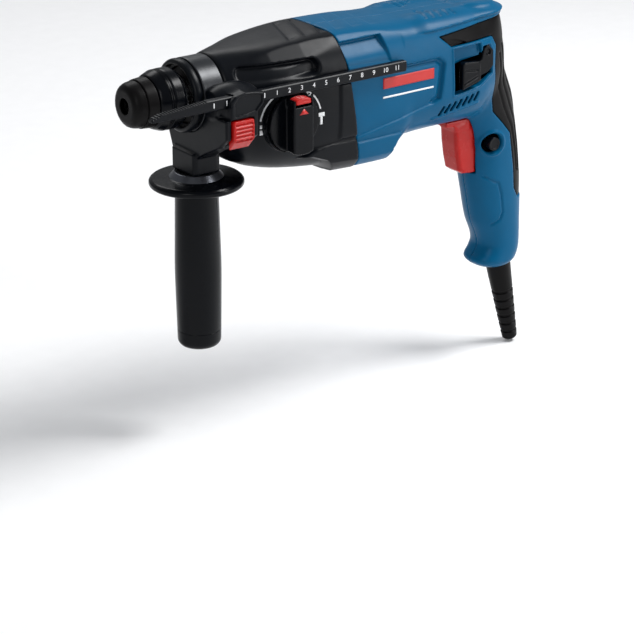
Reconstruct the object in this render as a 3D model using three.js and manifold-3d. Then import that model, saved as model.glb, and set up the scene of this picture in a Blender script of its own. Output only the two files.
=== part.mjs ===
// Corded rotary hammer with an SDS-plus tool holder, as separate solids in named meshes.
// Millimetres. The origin is the bit seat on the spindle axis, +X runs back to the handle,
// +Z is up, and the control side (mode dial, reversing lever) faces -Y.
import * as THREE from 'three';
import { mergeVertices } from 'three/addons/utils/BufferGeometryUtils.js';
import Module from 'manifold-3d';

const wasm = await Module();
wasm.setup();

// ---------------------------------------------------------------- driving dimensions
const GAP = 0.3;                 // between touching pieces
const WALL = 3.8;                // plastic shell thickness
const NOSE_X = -42;              // tool-holder mouth
const SHANK_R = 5.1;             // bore for the 10 mm shank
const BOLT_R = 7.0;              // impact bolt
const CYL_R = 11.5;              // hammer cylinder bore
const TUBE_R = 14.3;             // hammer tube outside
const COUNTER_Z = -25.5;         // countershaft axis height
const MOTOR_Z = COUNTER_Z + 22.4;
const GEAR_MODULE = 1.0;
const SPINDLE_TEETH = 36;
const COUNTER_TEETH = 15;
const MOTOR_MODULE = 0.8;
const PINION_TEETH = 9;
const WHEEL_TEETH = 47;
const WOBBLE_X = 98;             // centre of the wobble ring
const FINGER_R = 3.8;            // ball on the wobble finger
const NECK_R = 22;               // neck under the clamp band
const COLLAR_R = 25;
const CLAMP_X0 = 5.4;            // clamp band and clamp body, front and rear planes
const CLAMP_X1 = 21.4;
const SIDE_X = 0.5 * (CLAMP_X0 + CLAMP_X1);
const ROD_Y = -43;
const ROD_Z = 4.5;
const ROD_FRONT = -49;
const ROD_LENGTH = 208;
const DIAL = { x: 65.8, z: -20.5, r: 20, face: -41.5, proud: 10.5 };
const LEVER = { x: 238.5, z: -2.5 };
const LOCK = { x: 258.4, z: -77.6, r: 5 };
const SEAM = { top: 107.5, slope: 0.17, z: 36 };  // slanted joint of black and blue shells
const GRIP_SKIN = 2;             // rubber thickness on the handle back
const ROUND = 16;                // facets of the larger turned parts
const SMALL = 12;                // facets of the smaller ones

// Shell sections along X: [x, top, bottom, half width, squareness above, squareness below]
const BODY = [
  [21.8, 25.6, -30, 25.6, 2.0, 2.0],
  [30, 26.6, -46, 29.5, 2.3, 2.2],
  [42, 27.6, -54, 33.5, 2.8, 2.4],
  [56, 28.8, -58.5, 36.7, 3.4, 2.6],
  [75, 30.4, -62, 38.4, 4.0, 2.7],
  [100, 31.8, -65, 39.4, 3.6, 2.7],
  [140, 31.2, -67, 39.4, 3.7, 2.7],
  [161, 29.6, -64.5, 39.3, 3.8, 2.7],
  [171, 29.2, -57, 39, 4.2, 2.7],
  [206, 29, -55.8, 38.4, 4.6, 2.7],
  [236, 28.5, -56.2, 35.5, 4.4, 2.6],
  [252, 27.2, -46, 30, 3.6, 2.4],
  [262, 23.4, -36, 24, 2.6, 2.2],
];
// Handle sections along Z: [z, front, rear, half width]
const HANDLE = [
  [28.6, 228, 258, 24],
  [26, 222, 263.5, 29.5],
  [15, 219, 264.5, 31.5],
  [-15, 219, 269.8, 30],
  [-43, 226, 283, 24],
  [-60, 240, 287.5, 20.5],
  [-78, 245, 291, 19.5],
  [-100, 246, 294, 19.5],
  [-120, 249.5, 295, 19],
  [-140, 254, 295, 18.5],
  [-160, 261, 294.8, 18],
  [-166, 258.5, 294.5, 18],
  [-172, 254.5, 292.5, 18],
  [-178, 259, 287, 15],
];

// ---------------------------------------------------------------- materials
const finish = (color, roughness, metalness = 0) =>
  new THREE.MeshStandardMaterial({ color, roughness, metalness });
const BLUE = finish(0x1a6a9e, 0.45);
const BLACK = finish(0x22262b, 0.5);
const RUBBER = finish(0x2c2b2c, 0.85);
const RED = finish(0xc83a34, 0.4);
const STEEL = finish(0x9a9da1, 0.32, 1);
const DARK_STEEL = finish(0x5b5e62, 0.4, 1);
const COPPER = finish(0xb8683a, 0.35, 1);
const BRASS = finish(0xb59a4c, 0.35, 1);
const CARBON = finish(0x2f3032, 0.7);
const ALUMINIUM = finish(0xa9acb0, 0.5, 1);

// ---------------------------------------------------------------- solids
// Merged, triangle-only copy of a geometry, without the slivers that merging leaves.
function merged(geometry) {
  const plain = geometry.clone();
  plain.deleteAttribute('normal');
  plain.deleteAttribute('uv');
  const joined = mergeVertices(plain, 1e-4);
  const from = joined.index.array;
  const kept = [];
  for (let i = 0; i < from.length; i += 3) {
    const [a, b, c] = [from[i], from[i + 1], from[i + 2]];
    if (a !== b && b !== c && c !== a) kept.push(a, b, c);
  }
  joined.setIndex(kept);
  return joined;
}

function solid(geometry) {
  const clean = merged(geometry);
  const triVerts = new Uint32Array(clean.index.array);
  const vertProperties = clean.attributes.position.array;
  const made = new wasm.Manifold(new wasm.Mesh({ numProp: 3, vertProperties, triVerts }));
  if (made.volume() >= 0) return made;
  triVerts.reverse();
  return new wasm.Manifold(new wasm.Mesh({ numProp: 3, vertProperties, triVerts }));
}

function geometryOf(shape) {
  const mesh = shape.getMesh();
  const geometry = new THREE.BufferGeometry();
  const points = new Float32Array(mesh.numVert * 3);
  for (let i = 0; i < mesh.numVert; i += 1) {
    for (let k = 0; k < 3; k += 1) points[3 * i + k] = mesh.vertProperties[mesh.numProp * i + k];
  }
  geometry.setAttribute('position', new THREE.BufferAttribute(points, 3));
  geometry.setIndex(new THREE.BufferAttribute(new Uint32Array(mesh.triVerts), 1));
  geometry.computeVertexNormals();
  return geometry;
}

const join = (...shapes) => shapes.reduce((a, b) => a.add(b));
const cut = (shape, ...tools) => tools.reduce((a, b) => a.subtract(b), shape);

function box(x0, x1, y0, y1, z0, z1) {
  const block = new THREE.BoxGeometry(x1 - x0, y1 - y0, z1 - z0);
  block.translate((x0 + x1) / 2, (y0 + y1) / 2, (z0 + z1) / 2);
  return solid(block);
}

// Turned part about an axis parallel to X: profile points are [x, radius].
function turned(profile, { z = 0, y = 0, facets = ROUND } = {}) {
  const points = profile.map(([x, r]) => new THREE.Vector2(r, x));
  const lathe = new THREE.LatheGeometry(points, facets);
  lathe.rotateZ(-Math.PI / 2);
  lathe.translate(0, y, z);
  return solid(lathe);
}

// Turned part about a vertical axis: profile points are [z, radius].
function turnedZ(profile, x, y, facets = ROUND) {
  const lathe = new THREE.LatheGeometry(profile.map(([z, r]) => new THREE.Vector2(r, z)), facets);
  lathe.rotateX(Math.PI / 2);
  lathe.translate(x, y, 0);
  return solid(lathe);
}

// Turned part about an axis parallel to Y: profile points are [y, radius].
function turnedY(profile, x, z, facets = ROUND) {
  const lathe = new THREE.LatheGeometry(profile.map(([y, r]) => new THREE.Vector2(r, y)), facets);
  lathe.translate(x, 0, z);
  return solid(lathe);
}

const rodProfile = (a, b, r) => [[a, 0], [a, r], [b, r], [b, 0]];
const ringProfile = (a, b, inner, outer) =>
  [[a, inner], [a, outer], [b, outer], [b, inner], [a, inner]];
const cylinderX = (a, b, r, place) => turned(rodProfile(a, b, r), place);
const cylinderY = (a, b, r, x, z, facets = SMALL) => turnedY(rodProfile(a, b, r), x, z, facets);
const cylinderZ = (a, b, r, x, y, facets = SMALL) => turnedZ(rodProfile(a, b, r), x, y, facets);
const ringX = (a, b, inner, outer, place) => turned(ringProfile(a, b, inner, outer), place);

// Flat outline in the XZ plane, given thickness from y0 to y1.
function plateXZ(outline, y0, y1) {
  const shape = new THREE.Shape(outline.map(([x, z]) => new THREE.Vector2(x, z)));
  const plate = new THREE.ExtrudeGeometry(shape, { depth: y1 - y0, bevelEnabled: false });
  plate.rotateX(Math.PI / 2);
  plate.translate(0, y1, 0);
  return solid(plate);
}

// Flat outline in the YZ plane, given thickness from x0 to x1.
function plateYZ(outline, x0, x1) {
  const shape = new THREE.Shape(outline.map(([y, z]) => new THREE.Vector2(-z, y)));
  const plate = new THREE.ExtrudeGeometry(shape, { depth: x1 - x0, bevelEnabled: false });
  plate.rotateY(Math.PI / 2);
  plate.translate(x0, 0, 0);
  return solid(plate);
}

// Closed skin through rings of equal length, with a fan at each end.
function loft(rings) {
  const points = rings.flat();
  const count = rings[0].length;
  const faces = [];
  for (let k = 0; k + 1 < rings.length; k += 1) {
    for (let i = 0; i < count; i += 1) {
      const a = k * count + i;
      const b = k * count + ((i + 1) % count);
      faces.push(a, b, b + count, a, b + count, a + count);
    }
  }
  [0, rings.length - 1].forEach((k) => {
    const centre = new THREE.Vector3();
    rings[k].forEach((p) => centre.addScaledVector(p, 1 / count));
    points.push(centre);
    for (let i = 0; i < count; i += 1) {
      const a = k * count + i;
      const b = k * count + ((i + 1) % count);
      faces.push(...(k ? [points.length - 1, a, b] : [points.length - 1, b, a]));
    }
  });
  const skin = new THREE.BufferGeometry().setFromPoints(points);
  skin.setIndex(faces);
  return solid(skin);
}

const soft = (value, squareness) => Math.sign(value) * Math.abs(value) ** (2 / squareness);
const RING_POINTS = 18;
const turns = [...Array(RING_POINTS).keys()].map((i) => (2 * Math.PI * i) / RING_POINTS);

// The body's outer form, drawn in by an inset.
function bodyForm(inset) {
  const rings = BODY.map(([x, top, bottom, half, above, below], k) => {
    const shift = k === 0 ? inset * 0.2 : 0;
    const last = k === BODY.length - 1 ? -inset : 0;
    const mid = (top + bottom) / 2;
    return turns.map((t) => {
      const n = Math.sin(t) > 0 ? above : below;
      return new THREE.Vector3(
        x + shift + last,
        (half - inset) * soft(Math.cos(t), n),
        mid + ((top - bottom) / 2 - inset) * soft(Math.sin(t), n),
      );
    });
  });
  return loft(rings);
}

function handleForm(inset) {
  const top = HANDLE[0][0];
  const foot = HANDLE[HANDLE.length - 1][0];
  const rings = HANDLE.map(([z, front, rear, half]) => turns.map((t) => new THREE.Vector3(
    (front + rear) / 2 + ((rear - front) / 2 - inset) * soft(Math.cos(t), 2.3),
    (half - inset) * soft(Math.sin(t), 2.3),
    THREE.MathUtils.clamp(z, foot + inset, top - inset),
  )));
  return loft(rings);
}

// Half space in front of (side -1) or behind (side 1) the slanted seam, moved by an offset.
function seamSide(side, offset) {
  const at = (z) => SEAM.top + (SEAM.z - z) * SEAM.slope + offset;
  const far = side < 0 ? 0 : 330;
  return plateXZ([[far, 60], [at(60), 60], [at(-190), -190], [far, -190]], -60, 60);
}

// ---------------------------------------------------------------- gears
// Spur gear about X. Tooth 0 points up, turned by `phase` of a pitch.
function gear({ teeth, module, x0, x1, bore, phase, steps }) {
  const pitch = (module * teeth) / 2;
  const pressure = THREE.MathUtils.degToRad(25);
  const base = pitch * Math.cos(pressure);
  const root = pitch - 1.2 * module;
  const tip = pitch + 0.92 * module;
  const play = 0.13;             // half of the backlash, at each flank
  const involute = (r) => Math.tan(Math.acos(Math.min(1, base / r))) - Math.acos(Math.min(1, base / r));
  const half = Math.PI / (2 * teeth) - play / pitch + involute(pitch);
  const low = Math.max(base, root);
  const radii = [...Array(steps).keys()].map((k) => low + ((tip - low) * k) / (steps - 1));
  const flank = radii.map((r) => [r, half - involute(r)]);
  if (root < base) flank.unshift([root, half]);
  const outline = [];
  for (let i = 0; i < teeth; i += 1) {
    const centre = (2 * Math.PI * (i + phase)) / teeth;
    flank.forEach(([r, a]) => outline.push([r, centre - a]));
    [...flank].reverse().forEach(([r, a]) => outline.push([r, centre + a]));
  }
  const wheel = plateYZ(outline.map(([r, a]) => [r * Math.sin(a), r * Math.cos(a)]), x0, x1);
  return bore ? cut(wheel, cylinderX(x0 - 1, x1 + 1, bore)) : wheel;
}

// ---------------------------------------------------------------- assembly tree
const hammer = new THREE.Group();
const group = (parent, z = 0) => {
  const made = new THREE.Group();
  made.position.z = z;
  parent.add(made);
  return made;
};
const housing = group(hammer);
const armature = group(hammer, MOTOR_Z);
const countershaft = group(hammer, COUNTER_Z);
const spindle = group(hammer);
const sideHandle = group(hammer);
const controls = group(hammer);

function piece(parent, name, shape, material) {
  const mesh = new THREE.Mesh(geometryOf(shape), material);
  mesh.name = name;
  parent.add(mesh);
  return mesh;
}

// ---------------------------------------------------------------- housing
const SCREW_SEATS = [[-28.5, 12], [28.5, 12], [-26, -43], [26, -43]];   // [y, z] of flange screws
const HANDLE_SCREWS = [[232, 19], [156, -51], [269, -134]];   // [x, z]
const BRACKET = { x0: 128, x1: 138 };

// Wall across the inside of the body, from the cavity form.
const bulkhead = (x0, x1, inset) => bodyForm(inset).intersect(box(x0, x1, -60, 60, -80, 60));

function gearHousing() {
  const shell = bodyForm(0).intersect(seamSide(-1, -GAP / 2));
  const cavity = bodyForm(WALL).intersect(box(25.6, 140, -60, 60, -80, 60));
  const frontWeb = cut(bulkhead(49, 58, WALL - 0.4), cylinderX(48, 59, TUBE_R + 0.7),
    cylinderX(50.6, 59, 9.8, { z: COUNTER_Z }));
  const rearWeb = cut(bulkhead(76, 84.4, WALL - 0.4), box(70, 90, -60, 60, -80, -9),
    cylinderX(75, 83.4, 19.8), cylinderX(75, 86, 16));
  const collar = turned([[-2.6, 0], [-2.6, COLLAR_R - 1.6], [0, COLLAR_R], [5, COLLAR_R], [5, 0]]);
  const neck = join(cylinderX(4.7, 23, NECK_R), collar);
  const seats = SCREW_SEATS.map(([y, z]) => cut(
    cylinderX(96, seamAt(z) - 1, 7.5, { y, z, facets: SMALL }).intersect(bodyForm(1)),
    cylinderX(99, 140, 2.4, { y, z, facets: SMALL }),
  ));
  const hollow = cut(join(shell, neck), cavity, cylinderX(-4, 2.6, NECK_R - 0.4),
    cylinderX(2, 5, 13), cylinderX(4.2, 27, 19.3));
  const dialWell = cylinderY(-60, DIAL.face + 4.2, DIAL.r + 0.6, DIAL.x, DIAL.z, ROUND);
  const dialPad = cylinderY(-38.4, -31, DIAL.r + 2.6, DIAL.x, DIAL.z, ROUND).intersect(bodyForm(0));
  const dialShaft = cylinderY(-60, -20, 6.4, DIAL.x, DIAL.z);
  return cut(join(hollow, frontWeb, rearWeb, ...seats, dialPad), dialWell, dialShaft);
}

const seamAt = (z) => SEAM.top + (SEAM.z - z) * SEAM.slope;

// Rubber region: the handle back and a strip forward under the top ledge, grown by a margin.
function rubberRegion(margin) {
  const m = margin;
  const outline = [
    [192 - 2 * m, 17 + m], [262, 23 + m], [330, 23 + m], [330, -124 - m], [285 - m, -124 - m],
    [280 - m, -116], [278.4 - m, -99], [274 - m, -72 - m], [266 - m, -63 - m], [255 - m, -52],
    [251.5 - m, -41], [249 - m, -26], [246.5 - m, -14], [246.5 - m, 2], [242, 9 - m], [203, 8 - m],
  ];
  return plateXZ(outline, -60, 60);
}

const outerForm = (inset) => join(bodyForm(inset), handleForm(inset));

function rearGrip() {
  return cut(outerForm(0).intersect(rubberRegion(0)), outerForm(GRIP_SKIN));
}

function motorShell() {
  const outer = outerForm(0).intersect(seamSide(1, GAP / 2));
  const behindRubber = handleForm(GRIP_SKIN + 2.6);
  const frontSpace = handleForm(3).intersect(box(0, 262, -60, 60, -190, 60));
  const cavity = join(bodyForm(WALL), behindRubber, frontSpace);
  const rubberSpace = cut(rubberRegion(GAP), outerForm(GRIP_SKIN + GAP));
  const motorRibs = [150, 201].map((x) => cut(
    bulkhead(x, x + 4, WALL - 0.4),
    cylinderX(x - 1, x + 5, 27.4, { z: MOTOR_Z }),
  ));
  const rearRib = cut(bulkhead(225, 234, WALL - 0.4), cylinderX(224, 233.4, 9.8, { z: MOTOR_Z }),
    cylinderX(224, 240, 5, { z: MOTOR_Z }));
  const ribs = cut(join(...motorRibs, rearRib), cylinderX(139, 153.5, 26.5, { z: MOTOR_Z }));
  const bosses = HANDLE_SCREWS.map(([x, z]) => cylinderY(-40, 40, 4.8, x, z)
    .intersect(outerForm(GRIP_SKIN + 0.8)));
  const tray = plateXZ(leverOutline(2.4), -37, LEVER_FLOOR + 2.5).intersect(outerForm(0.6));
  return cut(join(cut(outer, cavity), ribs, tray, ...bosses), rubberSpace,
    plateXZ(leverOutline(0), -60, LEVER_FLOOR), cylinderY(-60, -20, 3.4, LEVER.x, LEVER.z),
    ...screwHoles(), triggerWindow(), lockHole(), cableHole());
}

// Recess that the reversing lever swings in.
const LEVER_FLOOR = -28;
const leverOutline = (m) => [
  [245 + m, 5], [245 + m, -14], [240 + m, -19 - m], [224, -25.5 - m], [203 - m, -31 - m],
  [203 - m, 7 + m], [230, 11.5 + m], [240 + m, 9 + m],
];
const triggerWindow = () => box(218, 253, -10.2, 10.2, -100.8, -57.2);
const lockHole = () => cylinderY(-60, -10, LOCK.r + 0.5, LOCK.x, LOCK.z);
const CABLE = { x: 281.5, z: -178, tilt: THREE.MathUtils.degToRad(12.3) };

// Turned part about the cable axis, which leaves the handle foot at a slight angle.
function cableTurned(profile) {
  const lathe = new THREE.LatheGeometry(profile.map(([d, r]) => new THREE.Vector2(r, -d)), SMALL);
  lathe.rotateX(Math.PI / 2);
  lathe.rotateY(-CABLE.tilt);
  lathe.translate(CABLE.x, 0, CABLE.z);
  return solid(lathe);
}
const cableHole = () => cableTurned([[-18, 0], [-18, 11.4], [-9.6, 11.4], [-9.6, 10.1], [12, 10.1], [12, 0]]);

function screwHoles() {
  return HANDLE_SCREWS.flatMap(([x, z]) => [
    cylinderY(-12, 60, 2.3, x, z),
    cylinderY(10.5, 60, 4.2, x, z),
  ]);
}

function makeHousing() {
  piece(housing, 'gear_housing', gearHousing(), BLACK);
  const shell = motorShell();
  piece(housing, 'motor_housing_left', shell.intersect(box(60, 330, -60, -GAP / 2, -190, 60)), BLUE);
  piece(housing, 'motor_housing_right', shell.intersect(box(60, 330, GAP / 2, 60, -190, 60)), BLUE);
  piece(housing, 'rear_grip', rearGrip(), RUBBER);
  const bracket = cut(bulkhead(BRACKET.x0, BRACKET.x1, WALL + 0.5),
    cylinderX(129, 139, 11.3, { z: MOTOR_Z }), cylinderX(120, 140, 8.5, { z: MOTOR_Z }),
    cylinderX(127, 135.4, 9.8, { z: COUNTER_Z }),
    ...SCREW_SEATS.map(([y, z]) => cylinderX(120, 140, 2.4, { y, z, facets: SMALL })));
  piece(housing, 'bearing_bracket', bracket, ALUMINIUM);
  SCREW_SEATS.forEach(([y, z], i) => {
    const screw = turned([[101, 0], [101, 2.1], [138.3, 2.1], [138.3, 3.9], [142, 3.9], [142, 1.8],
      [140, 1.8], [140, 0]], { y, z, facets: 8 });
    piece(housing, `gear_housing_screw_${i + 1}`, screw, DARK_STEEL);
  });
  HANDLE_SCREWS.forEach(([x, z], i) => {
    const screw = turnedY([[-11, 0], [-11, 2.0], [10.8, 2.0], [10.8, 3.8], [14, 3.8], [14, 1.7],
      [12.4, 1.7], [12.4, 0]], x, z, 8);
    piece(housing, `handle_screw_${i + 1}`, screw, DARK_STEEL);
  });
}

// ---------------------------------------------------------------- bearings, seal
function bearing(x0, x1, inner, outer, z = 0) {
  const middle = (inner + outer) / 2;
  const groove = 0.8;
  return turned([[x0, inner], [x0, outer], [x1, outer], [x1, middle + 1], [x1 - groove, middle],
    [x1, middle - 1], [x1, inner], [x0, inner]], { z });
}

function makeBearings() {
  piece(housing, 'spindle_seal', turned([[4.5, 12.3], [4.5, 19], [7.3, 19], [7.3, 16], [5.6, 15],
    [5.6, 12.9], [7.3, 12.3], [4.5, 12.3]]), RUBBER);
  piece(housing, 'spindle_bearing_front', bearing(7.7, 16, 12.3, 19), STEEL);
  piece(housing, 'spindle_bearing_rear', bearing(75.2, 83, TUBE_R + 0.3, 19.5), STEEL);
  piece(housing, 'countershaft_bearing_front', bearing(51, 57.6, 5.3, 9.5, COUNTER_Z), STEEL);
  piece(housing, 'countershaft_bearing_rear', bearing(128.4, 135, 5.3, 9.5, COUNTER_Z), STEEL);
  piece(housing, 'motor_bearing_front', bearing(129.4, 137.6, 4.3, 11, MOTOR_Z), STEEL);
  piece(housing, 'motor_bearing_rear', bearing(225.4, 233, 4.3, 9.5, MOTOR_Z), STEEL);
}

// ---------------------------------------------------------------- motor
const STATOR = { x0: 160, x1: 196, outer: 27, yoke: 23.1, bore: 16.7, pole: 13.9 };

function makeMotor() {
  const { x0, x1, outer, yoke, bore, pole } = STATOR;
  const place = { z: MOTOR_Z };
  const ring = ringX(x0, x1, yoke, outer, place);
  const poles = box(x0, x1, -pole, pole, MOTOR_Z - 24, MOTOR_Z + 24)
    .intersect(cylinderX(x0, x1, yoke + 1, place));
  piece(housing, 'stator_core', cut(join(ring, poles), cylinderX(x0 - 1, x1 + 1, bore, place)), DARK_STEEL);
  [['upper', 1], ['lower', -1]].forEach(([name, side]) => {
    const levels = [MOTOR_Z + side * 9.7, MOTOR_Z + side * 13.7].sort((a, b) => a - b);
    const coil = cut(box(x0 - 6.5, x1 + 4.5, -18, 18, ...levels), box(x0 - 2, x1 + 0.6, -14.3, 14.3, -60, 60));
    piece(housing, `field_coil_${name}`, coil, COPPER);
  });
  [['left', -1], ['right', 1]].forEach(([name, side]) => {
    const ends = (a, b) => [side * a, side * b].sort((p, q) => p - q);
    const brush = box(209, 217, ...ends(11.4, 23), MOTOR_Z - 3.2, MOTOR_Z + 3.2);
    const holder = cut(box(207.2, 218.8, ...ends(14, 24.6), MOTOR_Z - 5, MOTOR_Z + 5),
      box(208.6, 217.4, ...ends(13, 28), MOTOR_Z - 3.6, MOTOR_Z + 3.6));
    piece(housing, `carbon_brush_${name}`, brush, CARBON);
    piece(housing, `brush_holder_${name}`, holder, BRASS);
  });
  const pinion = gear({ teeth: PINION_TEETH, module: MOTOR_MODULE, x0: 114, x1: 127, phase: 0.5, steps: 3 });
  const shaft = turned([[126.5, 0], [126.5, 4], [235, 4], [235, 0]], { facets: SMALL });
  piece(armature, 'armature_shaft', join(pinion, shaft), STEEL);
  const core = cut(ringX(162, 195, 4.3, 15.9), ...[...Array(12).keys()].map((i) => {
    const slot = new THREE.BoxGeometry(40, 1.6, 6);
    slot.translate(178, 0, 15);
    slot.rotateX((i * Math.PI) / 6);
    return solid(slot);
  }));
  piece(armature, 'armature_core', core, DARK_STEEL);
  piece(armature, 'commutator', ringX(206, 221, 4.3, 11.1), COPPER);
  const blades = [...Array(11).keys()].map((i) => {
    const blade = new THREE.BoxGeometry(8, 1.4, 14);
    blade.rotateZ(0.35);
    blade.translate(149.5, 0, 17.5);
    blade.rotateX((2 * i * Math.PI) / 11);
    return solid(blade);
  });
  const hub = turned([[143, 4.3], [143, 9], [143.6, 24.5], [145.6, 24.5], [146, 10], [153, 8],
    [153, 4.3], [143, 4.3]]);
  piece(armature, 'cooling_fan', cut(join(hub, ...blades), cylinderX(140, 160, 4.3)), BLACK);
}

// ---------------------------------------------------------------- countershaft and hammer drive
const COUNTER_GEAR = { x0: 58.4, x1: 70 };

function makeCountershaft() {
  const shaft = turned([[50.9, 0], [50.9, 5], [135, 5], [135, 0]], { facets: SMALL });
  const toothed = gear({
    teeth: COUNTER_TEETH, module: GEAR_MODULE, ...COUNTER_GEAR, phase: 0, steps: 3,
  });
  piece(countershaft, 'countershaft', join(shaft, toothed), STEEL);
  const wheel = gear({
    teeth: WHEEL_TEETH, module: MOTOR_MODULE, x0: 116, x1: 125, bore: 5.3, phase: 0.5, steps: 2,
  });
  piece(countershaft, 'countershaft_gear', wheel, STEEL);
  const ball = new THREE.SphereGeometry(9.8, 20, 14).rotateZ(Math.PI / 2).translate(WOBBLE_X, 0, 0);
  const sleeve = cut(solid(ball).intersect(box(WOBBLE_X - 7, WOBBLE_X + 7, -20, 20, -20, 20)),
    cylinderX(80, 110, 5.3));
  piece(countershaft, 'wobble_sleeve', sleeve, STEEL);
  const race = turned([[-4.5, 10.4], [-4.5, 14], [-3.5, 15], [3.5, 15], [4.5, 14], [4.5, 10.4],
    [-4.5, 10.4]]).translate([WOBBLE_X, 0, 0]);
  const top = -COUNTER_Z;
  const finger = cylinderZ(14, top, 2.4, WOBBLE_X, 0, 12);
  const knob = new THREE.SphereGeometry(FINGER_R, 14, 10).translate(WOBBLE_X, 0, top);
  piece(countershaft, 'wobble_ring', join(race, finger, solid(knob)), STEEL);
}

function makeHammer() {
  const spigot = CYL_R - GAP;
  const holder = turned([
    [-36, SHANK_R], [-36, 9], [-15, 9], [-15, 11], [-4, 11], [-4, 17.5], [-2, 17.5], [-2, 12],
    [17, 12], [17, spigot], [30, spigot], [30, BOLT_R + 0.25], [-GAP, BOLT_R + 0.25],
    [-GAP, SHANK_R], [-36, SHANK_R],
  ]);
  const ballSeat = solid(new THREE.SphereGeometry(3.35, 14, 10).translate(-21.5, 0, 7.2));
  piece(spindle, 'tool_holder', cut(holder, ballSeat), STEEL);
  piece(spindle, 'hammer_tube', ringX(17.3, 86, CYL_R, TUBE_R), STEEL);
  piece(spindle, 'spindle_gear', gear({
    teeth: SPINDLE_TEETH, module: GEAR_MODULE, x0: 59.4, x1: 69, bore: TUBE_R + GAP, phase: 0.5, steps: 2,
  }), STEEL);
  piece(spindle, 'locking_ball', solid(new THREE.SphereGeometry(3, 14, 10).translate(-21.5, 0, 7.2)), STEEL);
  piece(spindle, 'lock_ring', ringX(-26, -17, 10.5, 12.6), STEEL);
  piece(spindle, 'dust_cap', turned([
    [NOSE_X, 5.6], [NOSE_X, 13.2], [-41.2, 14.6], [-38.5, 15.6], [-33, 16.2], [-31.5, 16.9], [-24.5, 17.2],
    [-24.5, 13], [-26.6, 13], [-26.6, 9.3], [-36.3, 9.3], [-36.3, 7], [-38, 5.6], [NOSE_X, 5.6],
  ]), RUBBER);
  piece(spindle, 'locking_sleeve', turned([
    [-24, 13.2], [-24, 18.4], [-22.6, 20], [-21.4, 20.75], [-7, 20.75], [-5.4, 20.3], [-5.4, 18.9],
    [-20.2, 18.9], [-20.2, 13.2], [-24, 13.2],
  ]), BLACK);
  piece(spindle, 'sleeve_spring', sleeveSpring(), STEEL);
  piece(spindle, 'impact_bolt', turned([
    [0, 0], [0, 3.9], [2.4, 6.3], [2.4, BOLT_R], [20, BOLT_R], [22, 5], [28, 5], [28, 0]], { facets: 20 }), STEEL);
  piece(spindle, 'striker', turned([
    [36, 0], [36, 4.5], [40, 5], [40, 11.2], [44, 11.2], [44, 10.2], [47, 10.2], [47, 11.2], [54, 11.2],
    [54, 0]], { facets: 20 }), STEEL);
  const crown = turned([[68, 0], [68, 11.2], [84, 11.2], [84, 0]], { facets: 20 });
  const lug = box(83, 104.5, -8.5, 8.5, -6, 7);
  const slot = box(WOBBLE_X - 4.1, WOBBLE_X + 4.1, -4.5, 4.5, -20, 4.8);
  piece(spindle, 'piston', cut(join(crown, lug), slot), ALUMINIUM);
}

class Helix extends THREE.Curve {
  constructor(x0, x1, radius, count) {
    super();
    Object.assign(this, { x0, x1, radius, count });
  }

  getPoint(t) {
    const a = 2 * Math.PI * this.count * t;
    return new THREE.Vector3(
      this.x0 + (this.x1 - this.x0) * t,
      this.radius * Math.cos(a),
      this.radius * Math.sin(a),
    );
  }
}

function sleeveSpring() {
  const wire = new THREE.Shape().absarc(0, 0, 0.75, 0, 2 * Math.PI);
  const path = new Helix(-19, -5.2, 15.8, 4);
  return solid(new THREE.ExtrudeGeometry(wire, { steps: 44, curveSegments: 3, extrudePath: path }));
}

// ---------------------------------------------------------------- side handle
const GUARD_Z = -61;
const GRIP_END = -181;

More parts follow.
